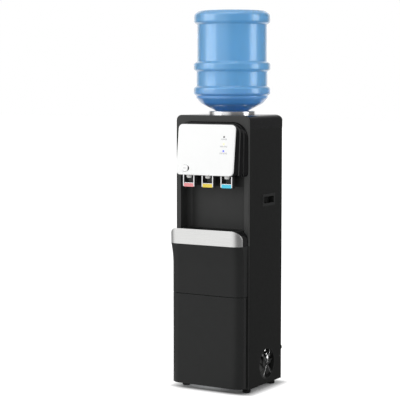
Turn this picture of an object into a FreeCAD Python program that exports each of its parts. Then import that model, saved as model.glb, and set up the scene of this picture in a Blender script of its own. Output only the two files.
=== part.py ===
import FreeCAD, Part
import math
import os
from FreeCAD import Vector

# Free-standing top-load water cooler with three lever taps, a lift-out drip tray, a storage
# compartment behind a hinged door and an inverted bottle on top.
# Frame: +X right, the front faces -Y, +Z up, the floor is z = 0 and the origin is the bottom
# centre of the whole object's box. All sizes are millimetres.
# "Proud" distances are measured forwards from the front plane of the cabinet.

# ---------------------------------------------------------------- cabinet
CABINET_WIDTH = 300.0
CABINET_DEPTH = 248.0
CABINET_TOP = 987.0
FOOT_HEIGHT = 16.0
SHEET = 1.2                     # steel side, rear and shelf sheets
FLANGE = 12.0                   # folded edges of the steel sheets
PAN_SHEET = 2.0
PAN_RIM = 11.5
COVER_HEIGHT = 45.5             # moulded top cover, above the steel sides
COVER_WALL = 2.5
TOP_EDGE_RADIUS = 21.0
FRAME_THICKNESS = 8.0           # front mouldings, front to back
FRAME_EDGE_RADIUS = 3.0
SHADOW_GAP = 1.0                # dark seam between the front mouldings and the steel sides
SEAM_DEPTH = 1.5
FOOT_RADIUS = 15.0
FOOT_PAD_HEIGHT = 10.0
FOOT_STEM_RADIUS = 6.0
FOOT_INSET_X = 24.0
FOOT_INSET_FRONT = 30.0
FOOT_INSET_REAR = 38.0

# ---------------------------------------------------------------- front panel and door
PANEL_PROUD = 48.0              # flat face of the door
PANEL_SIDE_INSET = 3.4
PANEL_CORNER_START = 42.0       # width of the curved edge on each side
PANEL_EDGE_DROP = 21.0          # how far the curved edge falls back
PANEL_WALL = 3.0
BAND_STEP = 1.2                 # step from the curved face to the side band
DOOR_BOTTOM = 23.0
DOOR_TOP = 349.0
DOOR_GAP = 2.0
DOOR_BACK_GAP = 0.8
DOOR_REAR_CORNER = 9.0
LINER_WALL = 2.5
HINGE_PIN_RADIUS = 3.0
HINGE_PIN_REACH = 14.0
HINGE_BOSS_RADIUS = 6.0
RUNNING_CLEARANCE = 0.05
MAGNET_WIDTH = 12.0
MAGNET_DEPTH = 8.0
MAGNET_HEIGHT = 40.0
FLARE_START = 450.0
TRIM_BOTTOM = 530.0
TRIM_TOP = 585.0
FLARE_PROUD = 12.0              # extra reach of the panel at the foot of the trim
TRIM_PROUD = 14.0               # extra reach of the trim at its top
FLARE_WIDEN = 1.4
TRIM_WALL = 2.5
TRIM_CORNER = 35.0

# ---------------------------------------------------------------- cup niche and drip tray
NICHE_SIDE_MARGIN = 19.0        # from the side of the cabinet
NICHE_DEPTH = 55.0
NICHE_TOP = 772.0
NICHE_WALL = 2.5
NICHE_CORNER = 18.0
TRAY_FLOOR = 533.0
TRAY_SIDE_GAP = 10.0            # between the tray and the niche
TRAY_FRONT_PROUD = 51.0
TRAY_BACK_GAP = 3.0
TRAY_WALL = 2.2
TRAY_TOP = 576.0
TRAY_CORNER = 6.0
TRAY_CLEARANCE = 2.5
SEAT_GAP = 0.3
GRILLE_THICKNESS = 4.0
GRILLE_SLOT = 5.0
GRILLE_PITCH = 12.0
GRILLE_SLOT_COUNT = 17
GRILLE_MARGIN = 11.0
HOUSING_TOP_DROP = 1.5

# ---------------------------------------------------------------- dispensing head
HEAD_SIDE_MARGIN = 4.0          # from the side of the cabinet
HEAD_TOP = 963.0
HEAD_BOTTOM = 774.0
HEAD_TOP_RADIUS = 60.0
HEAD_BOTTOM_RADIUS = 14.0
HEAD_GAP = 1.2
HEAD_WALL = 3.0
HEAD_STEPS = 3
HEAD_STEP_LEDGE = 2.4
HEAD_BACK_PLATE = 3.0
CONTROL_SIDE_MARGIN = 33.5
CONTROL_TOP = 956.0
CONTROL_BOTTOM = 777.0
CONTROL_TOP_PROUD = 36.5
CONTROL_BOTTOM_PROUD = 57.5
CONTROL_CORNER = 17.0
CONTROL_THICKNESS = 6.0
CONTROL_EDGE = 1.8
CONTROL_OVERHANG = 2.0
LAMP_SIDE_GAP = 43.0            # from the side of the control panel
LAMP_RADIUS = 3.4
LAMP_HEIGHTS = (913.0, 888.0, 864.0)
LAMP_NAMES = ("power_lamp", "heating_lamp", "cooling_lamp")
LAMP_DEPTH = 4.0
LAMP_PROUD = 0.4
BUTTON_SIDE_GAP = 36.5
BUTTON_Z = 800.0
BUTTON_WIDTH = 25.0
BUTTON_HEIGHT = 23.0
BUTTON_CORNER = 9.0
BUTTON_PROUD = 2.2
BUTTON_GAP = 0.5
BUTTON_TRAVEL = 2.0

# ---------------------------------------------------------------- taps
TAP_NAMES = ("hot", "room", "cold")
TAP_SIDE_GAP = 53.5             # from the side of the niche to an outer tap
LEVER_HALF_WIDTH = 23.5
LEVER_RAIL = 4.0
LEVER_FRONT_PROUD = 33.0
LEVER_DEPTH = 19.0
LEVER_BOTTOM = 733.0
LEVER_PIN_Z = 793.0
LEVER_PIN_PROUD = 12.0
LEVER_PIN_RADIUS = 2.5
LEVER_EYE_RADIUS = 6.0
LEVER_LABEL_HEIGHT = 12.5
LEVER_LABEL_THICKNESS = 2.0
LEVER_BAR_LIP = 2.0
LEVER_BAR_THICKNESS = 2.0
LEVER_CORNER = 4.0
LEVER_PAD_THICKNESS = 3.0
EAR_THICKNESS = 4.0
EAR_GAP = 1.0
NOZZLE_RADIUS = 9.8
NOZZLE_PROUD = 28.0
NOZZLE_BOTTOM = 764.0
NOZZLE_BORE = 4.0
VALVE_BOTTOM = 803.0
VALVE_HEIGHT = 24.0
VALVE_HALF_WIDTH = 14.0
VALVE_BARB_RADIUS = 5.0
VALVE_BARB_LENGTH = 16.0
TAP_BLOCK_BOTTOM = 736.0
TAP_BLOCK_DEPTH = 50.0
TAP_BLOCK_WALL = 5.0

# ---------------------------------------------------------------- side grips and vent
GRIP_BACK = 144.8               # centre of the grip, from the front plane
GRIP_Z = 683.5
GRIP_WIDTH = 93.0
GRIP_HEIGHT = 43.0
GRIP_HOLE_WIDTH = 77.0
GRIP_HOLE_HEIGHT = 24.0
GRIP_DEPTH = 22.0
GRIP_RIM = 1.0
GRIP_WALL = 1.5
VENT_BACK = 138.0               # centre of the fan vent, from the front plane
VENT_Z = 88.0
VENT_RADIUS = 57.5
VENT_BAR = 2.6
VENT_RING = 2.6
FAN_HALF = 60.0
FAN_DEPTH = 25.0
FAN_BORE = 56.0
FAN_TIP_GAP = 1.5
FAN_HUB_RADIUS = 20.0
FAN_BLADES = 7
FAN_CHORD = 20.0
FAN_BLADE_THICKNESS = 1.6
FAN_BLADE_PITCH = 24.0      # degrees
FAN_SHAFT_RADIUS = 3.0
FAN_ARM = 6.0
FAN_ARM_DEPTH = 4.0
FAN_CORNER = 6.0
FAN_MOTOR = 5.0
FAN_SHAFT_LENGTH = 9.0
FAN_HUB_GAP = 0.5
FAN_FRONT_GAP = 3.0
FAN_HUB_EDGE = 2.5
GUARD_SINK = 0.2
GUARD_SCREW_HEIGHT = 1.0
SCREW_SLOT = 1.0

# ---------------------------------------------------------------- bottle and seat
BOTTLE_BACK = 140.5             # bottle axis, from the front plane
COLLAR_RADIUS = 85.0
COLLAR_HEIGHT = 13.0
COLLAR_BORE = 62.0
COLLAR_EDGE = 3.0
SEAT_HOLE_RADIUS = 70.0
SEAT_WALL = 2.7
SEAT_BORE_CLEARANCE = 2.8
SEAT_LIP = 3.5
SEAT_RIB = 8.0
SEAT_FLANGE = 1.0
NECK_RADIUS = 27.5
NECK_LENGTH = 43.0
SHOULDER_SLOPE = 0.5            # rise of the shoulder cone for each mm of radius
CONE_Z_AT_COLLAR = 1001.5       # height where the shoulder cone is one radius of 61 wide
CONE_RADIUS_AT_COLLAR = 61.0
BOTTLE_WALL = 1.5
BOTTLE_TOP = 1359.0
BOTTLE_BODY_RADIUS = 125.6
BOTTLE_WAIST_RADIUS = 128.0
BOTTLE_RING_RADIUS = 138.4
BOTTLE_BASE_RADIUS = 137.0
BOTTLE_CONE_RADIUS = 110.0
BOTTLE_STEP = 1.5               # extra radius below the lowest ring
BOTTLE_SHOULDER_DROP = 311.0    # from the top of the bottle
BOTTLE_SHOULDER_ROUND = 40.0
BOTTLE_ROUND = 4.0
RING_DROPS = (276.0, 188.0, 17.0)
RING_HEIGHTS = (21.0, 22.0, 24.0)
RING_SLOPE = 9.0
BOTTLE_STAND_INSET = 15.0
BOTTLE_STAND_WIDTH = 47.0
BOTTLE_PUNT = 10.0
CAP_HEIGHT = 14.0
CAP_WALL = 1.2
CAP_FLOOR_GAP = 1.2
PROBE_RADIUS = 7.0
PROBE_BORE = 4.5
PROBE_RISE = 40.0
PROBE_POINT = 12.0
PROBE_PORT = 2.7

# ---------------------------------------------------------------- tanks and tubes
SHELF_Z = 752.0
TANK_RADIUS = 75.0
TANK_WALL = 1.0
TANK_HEIGHT = 150.0
TANK_BASE_FOAM = 12.0
FOAM_HALF = 82.5
FOAM_CORNER = 12.0
GROMMET_GAP = 2.0
COLD_PORT_RISE = 30.0
ROOM_PORT_RISE = 14.0
SLEEVE_THICKNESS = 1.5
SLEEVE_HEIGHT = 60.0
SLEEVE_RISE = 45.0
BAFFLE_DROP = 45.0
BAFFLE_THICKNESS = 3.0
BAFFLE_PIPE_RADIUS = 9.0
BAFFLE_PIPE_BORE = 5.0
BAFFLE_PIPE_LENGTH = 60.0
HOT_SHELF_Z = 356.0
HOT_X = -55.0
HOT_BACK = 165.0
HOT_RADIUS = 48.0
HOT_HEIGHT = 150.0
HOT_FOAM = 12.0
HOT_CORNER = 8.0
HEATER_HEIGHT = 30.0
HEATER_RISE = 14.0
HEATER_THICKNESS = 3.0
TUBE_RADIUS = 5.0
TUBE_BORE = 3.5
TUBE_BEND = 12.0
HOT_RISER_SIDE_MARGIN = 42.0
HOT_RISER_BACK = 119.0
SUCTION_SIDE_MARGIN = 38.0
SUCTION_STORE_GAP = 6.5

# ---------------------------------------------------------------- storage and cold circuit
STORE_SIDE_MARGIN = 34.0
STORE_BOTTOM = 166.0
STORE_TOP = 334.0
STORE_WALL = 2.0
STORE_REAR_GAP = 42.0
COMPRESSOR_X = -45.0
COMPRESSOR_REAR_GAP = 72.0
COMPRESSOR_RADIUS = 52.0
COMPRESSOR_HEIGHT = 108.0
COMPRESSOR_FOOT = 9.0
COMPRESSOR_SEAM = 3.0
PLATE_HALF_LENGTH = 66.0
PLATE_HALF_WIDTH = 38.0
PLATE_THICKNESS = 3.0
TERMINAL_HALF_WIDTH = 16.0
TERMINAL_RISE = 22.0
TERMINAL_PROUD = 12.0
MOUNT_RADIUS = 8.0
MOUNT_INSET = 10.0
CONDENSER_STANDOFF = 6.0
CONDENSER_TUBE_RADIUS = 2.5
CONDENSER_WIRE = 1.6
CONDENSER_SIDE_MARGIN = 38.0
CONDENSER_BOTTOM = 250.0
CONDENSER_PITCH = 46.0
CONDENSER_RUNS = 14
CONDENSER_WIRE_COUNT = 21
CONDENSER_WIRE_OVERHANG = 12.0
BRACKET_WIDTH = 14.0
BRACKET_HEIGHT = 20.0
BRACKET_INSET = 34.0
COPPER_RADIUS = 3.0
DISCHARGE_BEND = 3.5
DISCHARGE_RISE = 70.0
SUCTION_BEND = 9.0
SUCTION_RISE = 70.0

# ---------------------------------------------------------------- rear fittings
BAY_TOP = 158.0
BAY_BOTTOM = 44.0
BAY_LEFT_MARGIN = 28.0
BAY_RIGHT_MARGIN = 46.0
DRAIN_SIDE_MARGIN = 16.0
DRAIN_Z = 128.5
DRAIN_PIPE_RADIUS = 6.0
DRAIN_CAP_RADIUS = 13.0
DRAIN_CAP_LENGTH = 12.0
DRAIN_CAP_WALL = 2.5
DRAIN_CAP_EDGE = 2.0
DRAIN_GROOVE = 1.4
DRAIN_GROOVE_COUNT = 12
DRAIN_COLLAR = 4.0
DRAIN_PIPE_INSET = 9.6
DRAIN_BORE = 4.0
SWITCH_SIDE_MARGIN = 55.0
SWITCH_Z = 215.0
SWITCH_WIDTH = 14.0
SWITCH_HEIGHT = 22.0
SWITCH_SPACING = 24.0
SWITCH_SWING = 12.0             # degrees to each side of level
SWITCH_FLOOR_GAP = 1.2
SWITCH_PIVOT_RISE = 2.0
SWITCH_HOUSING_PROUD = 5.0
SWITCH_MARGIN = 5.0
SWITCH_SIDE_GAP = 0.4
STUB_RADIUS = 1.0
STUB_LENGTH = 1.4
ROCKER_FLAT = 3.0
ROCKER_HEEL = 2.4
ROCKER_TIP = 5.4
ROCKER_DIP = 3.9
SCREW_ROWS = 5
SCREW_END_GAP = 50.0
INLET_SIDE_MARGIN = 90.0
INLET_Z = 178.0
INLET_RADIUS = 9.0
INLET_SLEEVE_RADIUS = 6.3
INLET_FLANGE = 3.0
INLET_INNER_LENGTH = 8.0
INLET_OUTER_LENGTH = 6.0
INLET_BORE = 3.6
SCREW_HEAD_RADIUS = 3.6
SCREW_HEAD_HEIGHT = 2.0

# ---------------------------------------------------------------- derived places
HALF_WIDTH = CABINET_WIDTH / 2
NICHE_HALF_WIDTH = HALF_WIDTH - NICHE_SIDE_MARGIN
TRAY_HALF_WIDTH = NICHE_HALF_WIDTH - TRAY_SIDE_GAP
TAP_SPACING = NICHE_HALF_WIDTH - TAP_SIDE_GAP
HEAD_HALF_WIDTH = HALF_WIDTH - HEAD_SIDE_MARGIN
CONTROL_HALF_WIDTH = HALF_WIDTH - CONTROL_SIDE_MARGIN
LAMP_X = CONTROL_HALF_WIDTH - LAMP_SIDE_GAP
BUTTON_X = BUTTON_SIDE_GAP - CONTROL_HALF_WIDTH
STORE_HALF_WIDTH = HALF_WIDTH - STORE_SIDE_MARGIN
CONDENSER_HALF_WIDTH = HALF_WIDTH - CONDENSER_SIDE_MARGIN
BAY_LEFT = BAY_LEFT_MARGIN - HALF_WIDTH
BAY_RIGHT = HALF_WIDTH - BAY_RIGHT_MARGIN
DRAIN_X = HALF_WIDTH - DRAIN_SIDE_MARGIN
SWITCH_X = SWITCH_SIDE_MARGIN - HALF_WIDTH
INLET_X = INLET_SIDE_MARGIN - HALF_WIDTH
HOT_RISER_X = HOT_RISER_SIDE_MARGIN - HALF_WIDTH
SUCTION_X = HALF_WIDTH - SUCTION_SIDE_MARGIN
CONDENSER_REACH = CONDENSER_STANDOFF + 2 * CONDENSER_TUBE_RADIUS + CONDENSER_WIRE
BOTTLE_REACH = BOTTLE_BACK + BOTTLE_RING_RADIUS - CABINET_DEPTH
REAR_REACH = max(CONDENSER_REACH, BOTTLE_REACH)
FRONT_REACH = PANEL_PROUD + TRIM_PROUD
OVERALL_DEPTH = FRONT_REACH + CABINET_DEPTH + REAR_REACH
FRONT_Y = -OVERALL_DEPTH / 2 + FRONT_REACH
REAR_Y = FRONT_Y + CABINET_DEPTH
INNER_X = HALF_WIDTH - SHEET
BODY_Y = FRONT_Y + FRAME_THICKNESS
COVER_BOTTOM = CABINET_TOP - COVER_HEIGHT
BOTTLE_Y = FRONT_Y + BOTTLE_BACK
VENT_Y = FRONT_Y + VENT_BACK
HOT_Y = FRONT_Y + HOT_BACK
PANEL_HALF_WIDTH = HALF_WIDTH - PANEL_SIDE_INSET
UPPER_PANEL_BOTTOM = DOOR_TOP + DOOR_GAP
NICHE_REAR_Y = FRONT_Y + NICHE_DEPTH + NICHE_WALL
BAND_HALF_WIDTH = PANEL_HALF_WIDTH - BAND_STEP
HINGE_X = -(BAND_HALF_WIDTH - DOOR_REAR_CORNER)
HINGE_Y = FRONT_Y - DOOR_BACK_GAP - DOOR_REAR_CORNER
TAP_XS = tuple((index - 1) * TAP_SPACING for index in range(3))
NECK_TOP = CONE_Z_AT_COLLAR - (CONE_RADIUS_AT_COLLAR - NECK_RADIUS) * SHOULDER_SLOPE
NECK_END = NECK_TOP - NECK_LENGTH
SEAT_FLOOR = NECK_END - CAP_WALL - CAP_FLOOR_GAP
SEAT_UNDERSIDE = SEAT_FLOOR - SEAT_WALL
COMPRESSOR_Y = REAR_Y - COMPRESSOR_REAR_GAP
COMPRESSOR_Z = FOOT_HEIGHT + PAN_SHEET + COMPRESSOR_FOOT
HOT_RISER_Y = FRONT_Y + HOT_RISER_BACK
SUCTION_Y = REAR_Y - STORE_REAR_GAP + SUCTION_STORE_GAP
ROCKER_Y = REAR_Y + SWITCH_FLOOR_GAP
ROCKER_PIVOT_Y = ROCKER_Y + SWITCH_PIVOT_RISE


# ---------------------------------------------------------------- shape helpers
def box(x0, x1, y0, y1, z0, z1):
    return Part.makeBox(x1 - x0, y1 - y0, z1 - z0, Vector(x0, y0, z0))


def cylinder(radius, start, end):
    path = Vector(*end) - Vector(*start)
    return Part.makeCylinder(radius, path.Length, Vector(*start), path)


def tube_between(outer, bore, start, end):
    return cylinder(outer, start, end).cut(cylinder(bore, start, end))


def corner_points(before, corner, after, radius):
    """Start, middle and end of the arc that rounds one corner of a path."""
    to_before = (before - corner).normalize()
    to_after = (after - corner).normalize()
    half_angle = to_before.getAngle(to_after) / 2
    reach = radius / math.tan(half_angle)
    bisector = (to_before + to_after).normalize()
    middle = corner + bisector * (radius / math.sin(half_angle) - radius)
    return corner + to_before * reach, middle, corner + to_after * reach


def rounded_edges(points, radii, closed=True):
    """Lines and arcs along a path of points, with each corner rounded by its radius."""
    points = [Vector(*point) for point in points]
    count = len(points)
    stops = []
    for index, point in enumerate(points):
        is_end = not closed and index in (0, count - 1)
        if is_end or radii[index] == 0:
            stops.append((point, None, point))
        else:
            stops.append(corner_points(points[index - 1], point, points[(index + 1) % count], radii[index]))
    edges = []
    for index, (start, middle, end) in enumerate(stops):
        if middle is not None:
            edges.append(Part.Arc(start, middle, end).toShape())
        if closed or index < count - 1:
            following = stops[(index + 1) % count][0]
            if end.distanceToPoint(following) > 1e-6:
                edges.append(Part.LineSegment(end, following).toShape())
    return edges


def rounded_wire(points, radii):
    return Part.Wire(rounded_edges(points, radii))


def plan_box(x0, x1, y0, y1, z0, z1, radii):
    """Upright block; radii are those of the front-left, front-right, rear-right and rear-left edges."""
    corners = [(x0, y0, z0), (x1, y0, z0), (x1, y1, z0), (x0, y1, z0)]
    return Part.Face(rounded_wire(corners, radii)).extrude(Vector(0, 0, z1 - z0))


def front_box(half_width, z0, z1, y0, y1, top_radius, bottom_radius=0.0):
    """Block whose outline is drawn in front view, with rounded upper and lower corners."""
    corners = [(-half_width, y0, z0), (half_width, y0, z0), (half_width, y0, z1), (-half_width, y0, z1)]
    radii = [bottom_radius, bottom_radius, top_radius, top_radius]
    return Part.Face(rounded_wire(corners, radii)).extrude(Vector(0, y1 - y0, 0))


def revolve(profile, axis_x, axis_y):
    """Solid of revolution of (radius, height) points about an upright axis."""
    points = [Vector(axis_x + radius, axis_y, height) for radius, height in profile]
    face = Part.Face(Part.makePolygon(points + points[:1]))
    return face.revolve(Vector(axis_x, axis_y, 0), Vector(0, 0, 1), 360)


def swept_tube(points, radius, bend):
    """Round bar along straight runs that are joined by tangent arcs."""
    radii = [bend] * len(points)
    path = Part.Wire(rounded_edges(points, radii, closed=False))
    start = Vector(*points[0])
    direction = Vector(*points[1]) - start
    profile = Part.Wire(Part.Circle(start, direction, radius).toShape())
    return path.makePipeShell([profile], True, False)


def join(shapes):
    result = shapes[0]
    for shape in shapes[1:]:
        result = result.fuse(shape)
    return result.removeSplitter()


def edges_where(shape, test):
    return [edge for edge in shape.Edges if test(edge.BoundBox)]


# ---------------------------------------------------------------- cabinet
def base_pan():
    y0 = BODY_Y + SHEET
    y1 = REAR_Y - SHEET
    outer = plan_box(-INNER_X, INNER_X, y0, y1, FOOT_HEIGHT, FOOT_HEIGHT + PAN_RIM, [SHEET] * 4)
    hollow = box(-INNER_X + PAN_SHEET, INNER_X - PAN_SHEET, y0 + PAN_SHEET, y1 - PAN_SHEET,
                 FOOT_HEIGHT + PAN_SHEET, FOOT_HEIGHT + PAN_RIM)
    return outer.cut(hollow)


def levelling_feet():
    feet = []
    for side in (-1, 1):
        for y in (FRONT_Y + FOOT_INSET_FRONT, REAR_Y - FOOT_INSET_REAR):
            x = side * (HALF_WIDTH - FOOT_INSET_X)
            pad = cylinder(FOOT_RADIUS, (x, y, 0), (x, y, FOOT_PAD_HEIGHT))
            pad = pad.makeFillet(FOOT_PAD_HEIGHT / 5, [edge for edge in pad.Edges if len(edge.Vertexes) == 1])
            stem = cylinder(FOOT_STEM_RADIUS, (x, y, FOOT_PAD_HEIGHT), (x, y, FOOT_HEIGHT))
            feet.append(pad.fuse(stem))
    return Part.makeCompound(feet)


def grip_hole(side):
    half_width = GRIP_HOLE_WIDTH / 2 + GRIP_WALL + SEAT_GAP
    half_height = GRIP_HOLE_HEIGHT / 2 + GRIP_WALL + SEAT_GAP
    y = FRONT_Y + GRIP_BACK
    x0, x1 = sorted((side * (HALF_WIDTH - 2 * SHEET), side * (HALF_WIDTH + SHEET)))
    return box(x0, x1, y - half_width, y + half_width, GRIP_Z - half_height, GRIP_Z + half_height)


def side_panel(side):
    corners = [2 * SHEET] * 4
    outer = plan_box(-HALF_WIDTH, HALF_WIDTH, BODY_Y, REAR_Y, FOOT_HEIGHT, COVER_BOTTOM, corners)
    inner_y0 = BODY_Y + SHEET
    inner_y1 = REAR_Y - SHEET
    hollow = plan_box(-INNER_X, INNER_X, inner_y0, inner_y1, FOOT_HEIGHT, COVER_BOTTOM, [SHEET] * 4)
    x0, x1 = sorted((side * (HALF_WIDTH - FLANGE), side * HALF_WIDTH))
    keep = box(x0, x1, BODY_Y, REAR_Y, FOOT_HEIGHT, COVER_BOTTOM)
    return outer.cut(hollow).common(keep).cut(grip_hole(side))


def vent_hole():
    x0 = HALF_WIDTH - 3 * SHEET
    x1 = HALF_WIDTH + SHEET
    return cylinder(VENT_RADIUS, (x0, VENT_Y, VENT_Z), (x1, VENT_Y, VENT_Z))


def right_side_panel():
    return side_panel(1).cut(vent_hole()).cut(drain_hole())


def side_grip(side):
    y = FRONT_Y + GRIP_BACK
    rim = box(HALF_WIDTH, HALF_WIDTH + GRIP_RIM, y - GRIP_WIDTH / 2, y + GRIP_WIDTH / 2,
              GRIP_Z - GRIP_HEIGHT / 2, GRIP_Z + GRIP_HEIGHT / 2)
    half_width = GRIP_HOLE_WIDTH / 2
    half_height = GRIP_HOLE_HEIGHT / 2
    cup = box(HALF_WIDTH - GRIP_DEPTH, HALF_WIDTH, y - half_width - GRIP_WALL, y + half_width + GRIP_WALL,
              GRIP_Z - half_height - GRIP_WALL, GRIP_Z + half_height + GRIP_WALL)
    hollow = box(HALF_WIDTH - GRIP_DEPTH + GRIP_WALL, HALF_WIDTH + GRIP_RIM, y - half_width, y + half_width,
                 GRIP_Z - half_height, GRIP_Z + half_height)
    grip = join([rim, cup]).cut(hollow)
    if side < 0:
        return grip.mirror(Vector(0, 0, 0), Vector(1, 0, 0))
    return grip


def drain_hole():
    clearance = DRAIN_PIPE_RADIUS + SEAT_GAP
    return cylinder(clearance, (DRAIN_X, REAR_Y - 5 * SHEET, DRAIN_Z), (DRAIN_X, REAR_Y + SHEET, DRAIN_Z))


def rear_panel():
    reach = INNER_X - SHEET
    sheet = box(-reach, reach, REAR_Y - 2 * SHEET, REAR_Y - SHEET, FOOT_HEIGHT + PAN_RIM, COVER_BOTTOM)
    bay = box(BAY_LEFT, BAY_RIGHT, REAR_Y - 3 * SHEET, REAR_Y, BAY_BOTTOM, BAY_TOP)
    inlet_hole = cylinder(INLET_SLEEVE_RADIUS + SEAT_GAP, (INLET_X, REAR_Y - 3 * SHEET, INLET_Z),
                          (INLET_X, REAR_Y, INLET_Z))
    return sheet.cut(bay).cut(inlet_hole).cut(drain_hole())


def top_cover():
    outer = box(-HALF_WIDTH, HALF_WIDTH, BODY_Y, REAR_Y, COVER_BOTTOM, CABINET_TOP)
    outer = outer.makeFillet(TOP_EDGE_RADIUS, edges_where(outer, top_side_or_rear_edge(CABINET_TOP, REAR_Y)))
    inner_top = CABINET_TOP - COVER_WALL
    inner_rear = REAR_Y - COVER_WALL
    reach = HALF_WIDTH - COVER_WALL
    hollow = box(-reach, reach, BODY_Y - COVER_WALL, inner_rear, COVER_BOTTOM, inner_top)
    inner_edges = edges_where(hollow, top_side_or_rear_edge(inner_top, inner_rear))
    hollow = hollow.makeFillet(TOP_EDGE_RADIUS - COVER_WALL, inner_edges)
    seat_hole = cylinder(SEAT_HOLE_RADIUS, (0, BOTTLE_Y, inner_top - COVER_WALL), (0, BOTTLE_Y, CABINET_TOP))
    return outer.cut(hollow).cut(seat_hole)


def top_side_or_rear_edge(top, rear):
    def test(bound):
        at_top = bound.ZMin > top - 0.01
        runs_back = bound.YLength > CABINET_DEPTH / 2
        at_rear = bound.YMin > rear - 0.01
        return at_top and (runs_back or at_rear)
    return test


# ---------------------------------------------------------------- front mouldings
def front_bezel():
    seam_y = BODY_Y - SEAM_DEPTH
    plate = front_box(HALF_WIDTH, TRIM_BOTTOM, CABINET_TOP, FRONT_Y, seam_y, TOP_EDGE_RADIUS)
    rim = edges_where(plate, lambda b: b.YMax < FRONT_Y + 0.01 and b.ZMax > TRIM_BOTTOM + 0.01)
    plate = plate.makeFillet(FRAME_EDGE_RADIUS, rim)
    seam = front_box(HALF_WIDTH - SHADOW_GAP, TRIM_BOTTOM, CABINET_TOP - SHADOW_GAP, seam_y, BODY_Y,
                     TOP_EDGE_RADIUS - SHADOW_GAP)
    niche_top = HEAD_BOTTOM + HEAD_BOTTOM_RADIUS
    niche = box(-NICHE_HALF_WIDTH, NICHE_HALF_WIDTH, FRONT_Y, BODY_Y, TRAY_FLOOR, niche_top)
    return plate.fuse(seam).removeSplitter().cut(niche).cut(head_opening(HEAD_GAP))


def head_opening(gap):
    return front_box(HEAD_HALF_WIDTH + gap, HEAD_BOTTOM - gap, HEAD_TOP + gap, FRONT_Y, BODY_Y,
                     HEAD_TOP_RADIUS + gap, HEAD_BOTTOM_RADIUS + gap)


def niche_liner():
    outer = plan_box(-NICHE_HALF_WIDTH - NICHE_WALL, NICHE_HALF_WIDTH + NICHE_WALL, BODY_Y, NICHE_REAR_Y,
                     TRAY_FLOOR - NICHE_WALL, NICHE_TOP + NICHE_WALL,
                     [0, 0, NICHE_CORNER + NICHE_WALL, NICHE_CORNER + NICHE_WALL])
    hollow = plan_box(-NICHE_HALF_WIDTH, NICHE_HALF_WIDTH, BODY_Y - 1, NICHE_REAR_Y - NICHE_WALL,
                      TRAY_FLOOR, NICHE_TOP, [0, 0, NICHE_CORNER, NICHE_CORNER])
    return outer.cut(hollow)


def lower_frame():
    """Board behind the door and the front panel, in four pieces round the mouth of the storage box."""
    seam_y = BODY_Y - SEAM_DEPTH
    plate = box(-HALF_WIDTH, HALF_WIDTH, FRONT_Y, seam_y, FOOT_HEIGHT, TRIM_BOTTOM)
    upright_rim = edges_where(plate, lambda b: b.YMax < FRONT_Y + 0.01 and b.XLength < 1)
    plate = plate.makeFillet(FRAME_EDGE_RADIUS, upright_rim)
    reach = HALF_WIDTH - SHADOW_GAP
    seam = box(-reach, reach, seam_y, BODY_Y, FOOT_HEIGHT, TRIM_BOTTOM)
    board = plate.fuse(seam).removeSplitter()
    cells = [(-HALF_WIDTH, HALF_WIDTH, FOOT_HEIGHT, STORE_BOTTOM),
             (-HALF_WIDTH, HALF_WIDTH, STORE_TOP, TRIM_BOTTOM),
             (-HALF_WIDTH, -STORE_HALF_WIDTH, STORE_BOTTOM, STORE_TOP),
             (STORE_HALF_WIDTH, HALF_WIDTH, STORE_BOTTOM, STORE_TOP)]
    return Part.makeCompound([board.common(box(x0, x1, FRONT_Y, BODY_Y, z0, z1)) for x0, x1, z0, z1 in cells])


def panel_outline(z, extra_proud, extra_width, inset, back_proud, band):
    """Plan outline of the curved front: a flat face, two curved edges and, with a band, stepped sides."""
    front = PANEL_PROUD + extra_proud
    half_width = PANEL_HALF_WIDTH + extra_width
    start = half_width - (PANEL_CORNER_START - PANEL_SIDE_INSET)
    run = half_width - start
    radius = (run ** 2 + PANEL_EDGE_DROP ** 2) / (2 * PANEL_EDGE_DROP)
    sweep = math.asin(run / radius)

    def on_arc(angle):
        x = start + (radius - inset) * math.sin(angle)
        proud = front - radius + (radius - inset) * math.cos(angle)
        return x, FRONT_Y - proud

    mid_x, mid_y = on_arc(sweep / 2)
    end_x, end_y = on_arc(sweep)
    front_y = FRONT_Y - front + inset
    right = [Vector(start, front_y, z), Vector(mid_x, mid_y, z), Vector(end_x, end_y, z)]
    left = [Vector(-point.x, point.y, point.z) for point in reversed(right)]
    side_x = end_x - BAND_STEP if band else end_x
    back_y = FRONT_Y - back_proud
    chain = [right[2]]
    if band:
        chain.append(Vector(side_x, end_y, z))
    if abs(back_y - end_y) > 1e-6:
        chain += [Vector(side_x, back_y, z), Vector(-side_x, back_y, z)]
    if band:
        chain.append(Vector(-side_x, end_y, z))
    chain.append(left[0])
    edges = [Part.LineSegment(left[2], right[0]).toShape(), Part.Arc(*right).toShape()]
    for first, second in zip(chain, chain[1:]):
        edges.append(Part.LineSegment(first, second).toShape())
    edges.append(Part.Arc(*left).toShape())
    return Part.Wire(edges)


def straight_panel(z0, z1, inset, back_proud, band=False):
    return Part.Face(panel_outline(z0, 0, 0, inset, back_proud, band)).extrude(Vector(0, 0, z1 - z0))


def flared_panel(inset, back_proud, band):
    """The part of the front panel that sweeps forwards under the trim."""
    wires = []
    steps = 4
    for step in range(steps + 1):
        share = step / steps
        z = FLARE_START + share * (TRIM_BOTTOM - FLARE_START)
        proud = FLARE_PROUD * share ** 2
        widen = FLARE_WIDEN * share ** 2
        wires.append(panel_outline(z, proud, widen, inset, back_proud, band))
    return Part.makeLoft(wires, True, False)


def trim_zone(inset, back_proud):
    """The part of the front beside the trim, which leans forwards a little."""
    low = panel_outline(TRIM_BOTTOM, FLARE_PROUD, FLARE_WIDEN, inset, back_proud, False)
    high = panel_outline(TRIM_TOP, TRIM_PROUD, FLARE_WIDEN, inset, back_proud, False)
    return Part.makeLoft([low, high], True, True)


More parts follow.
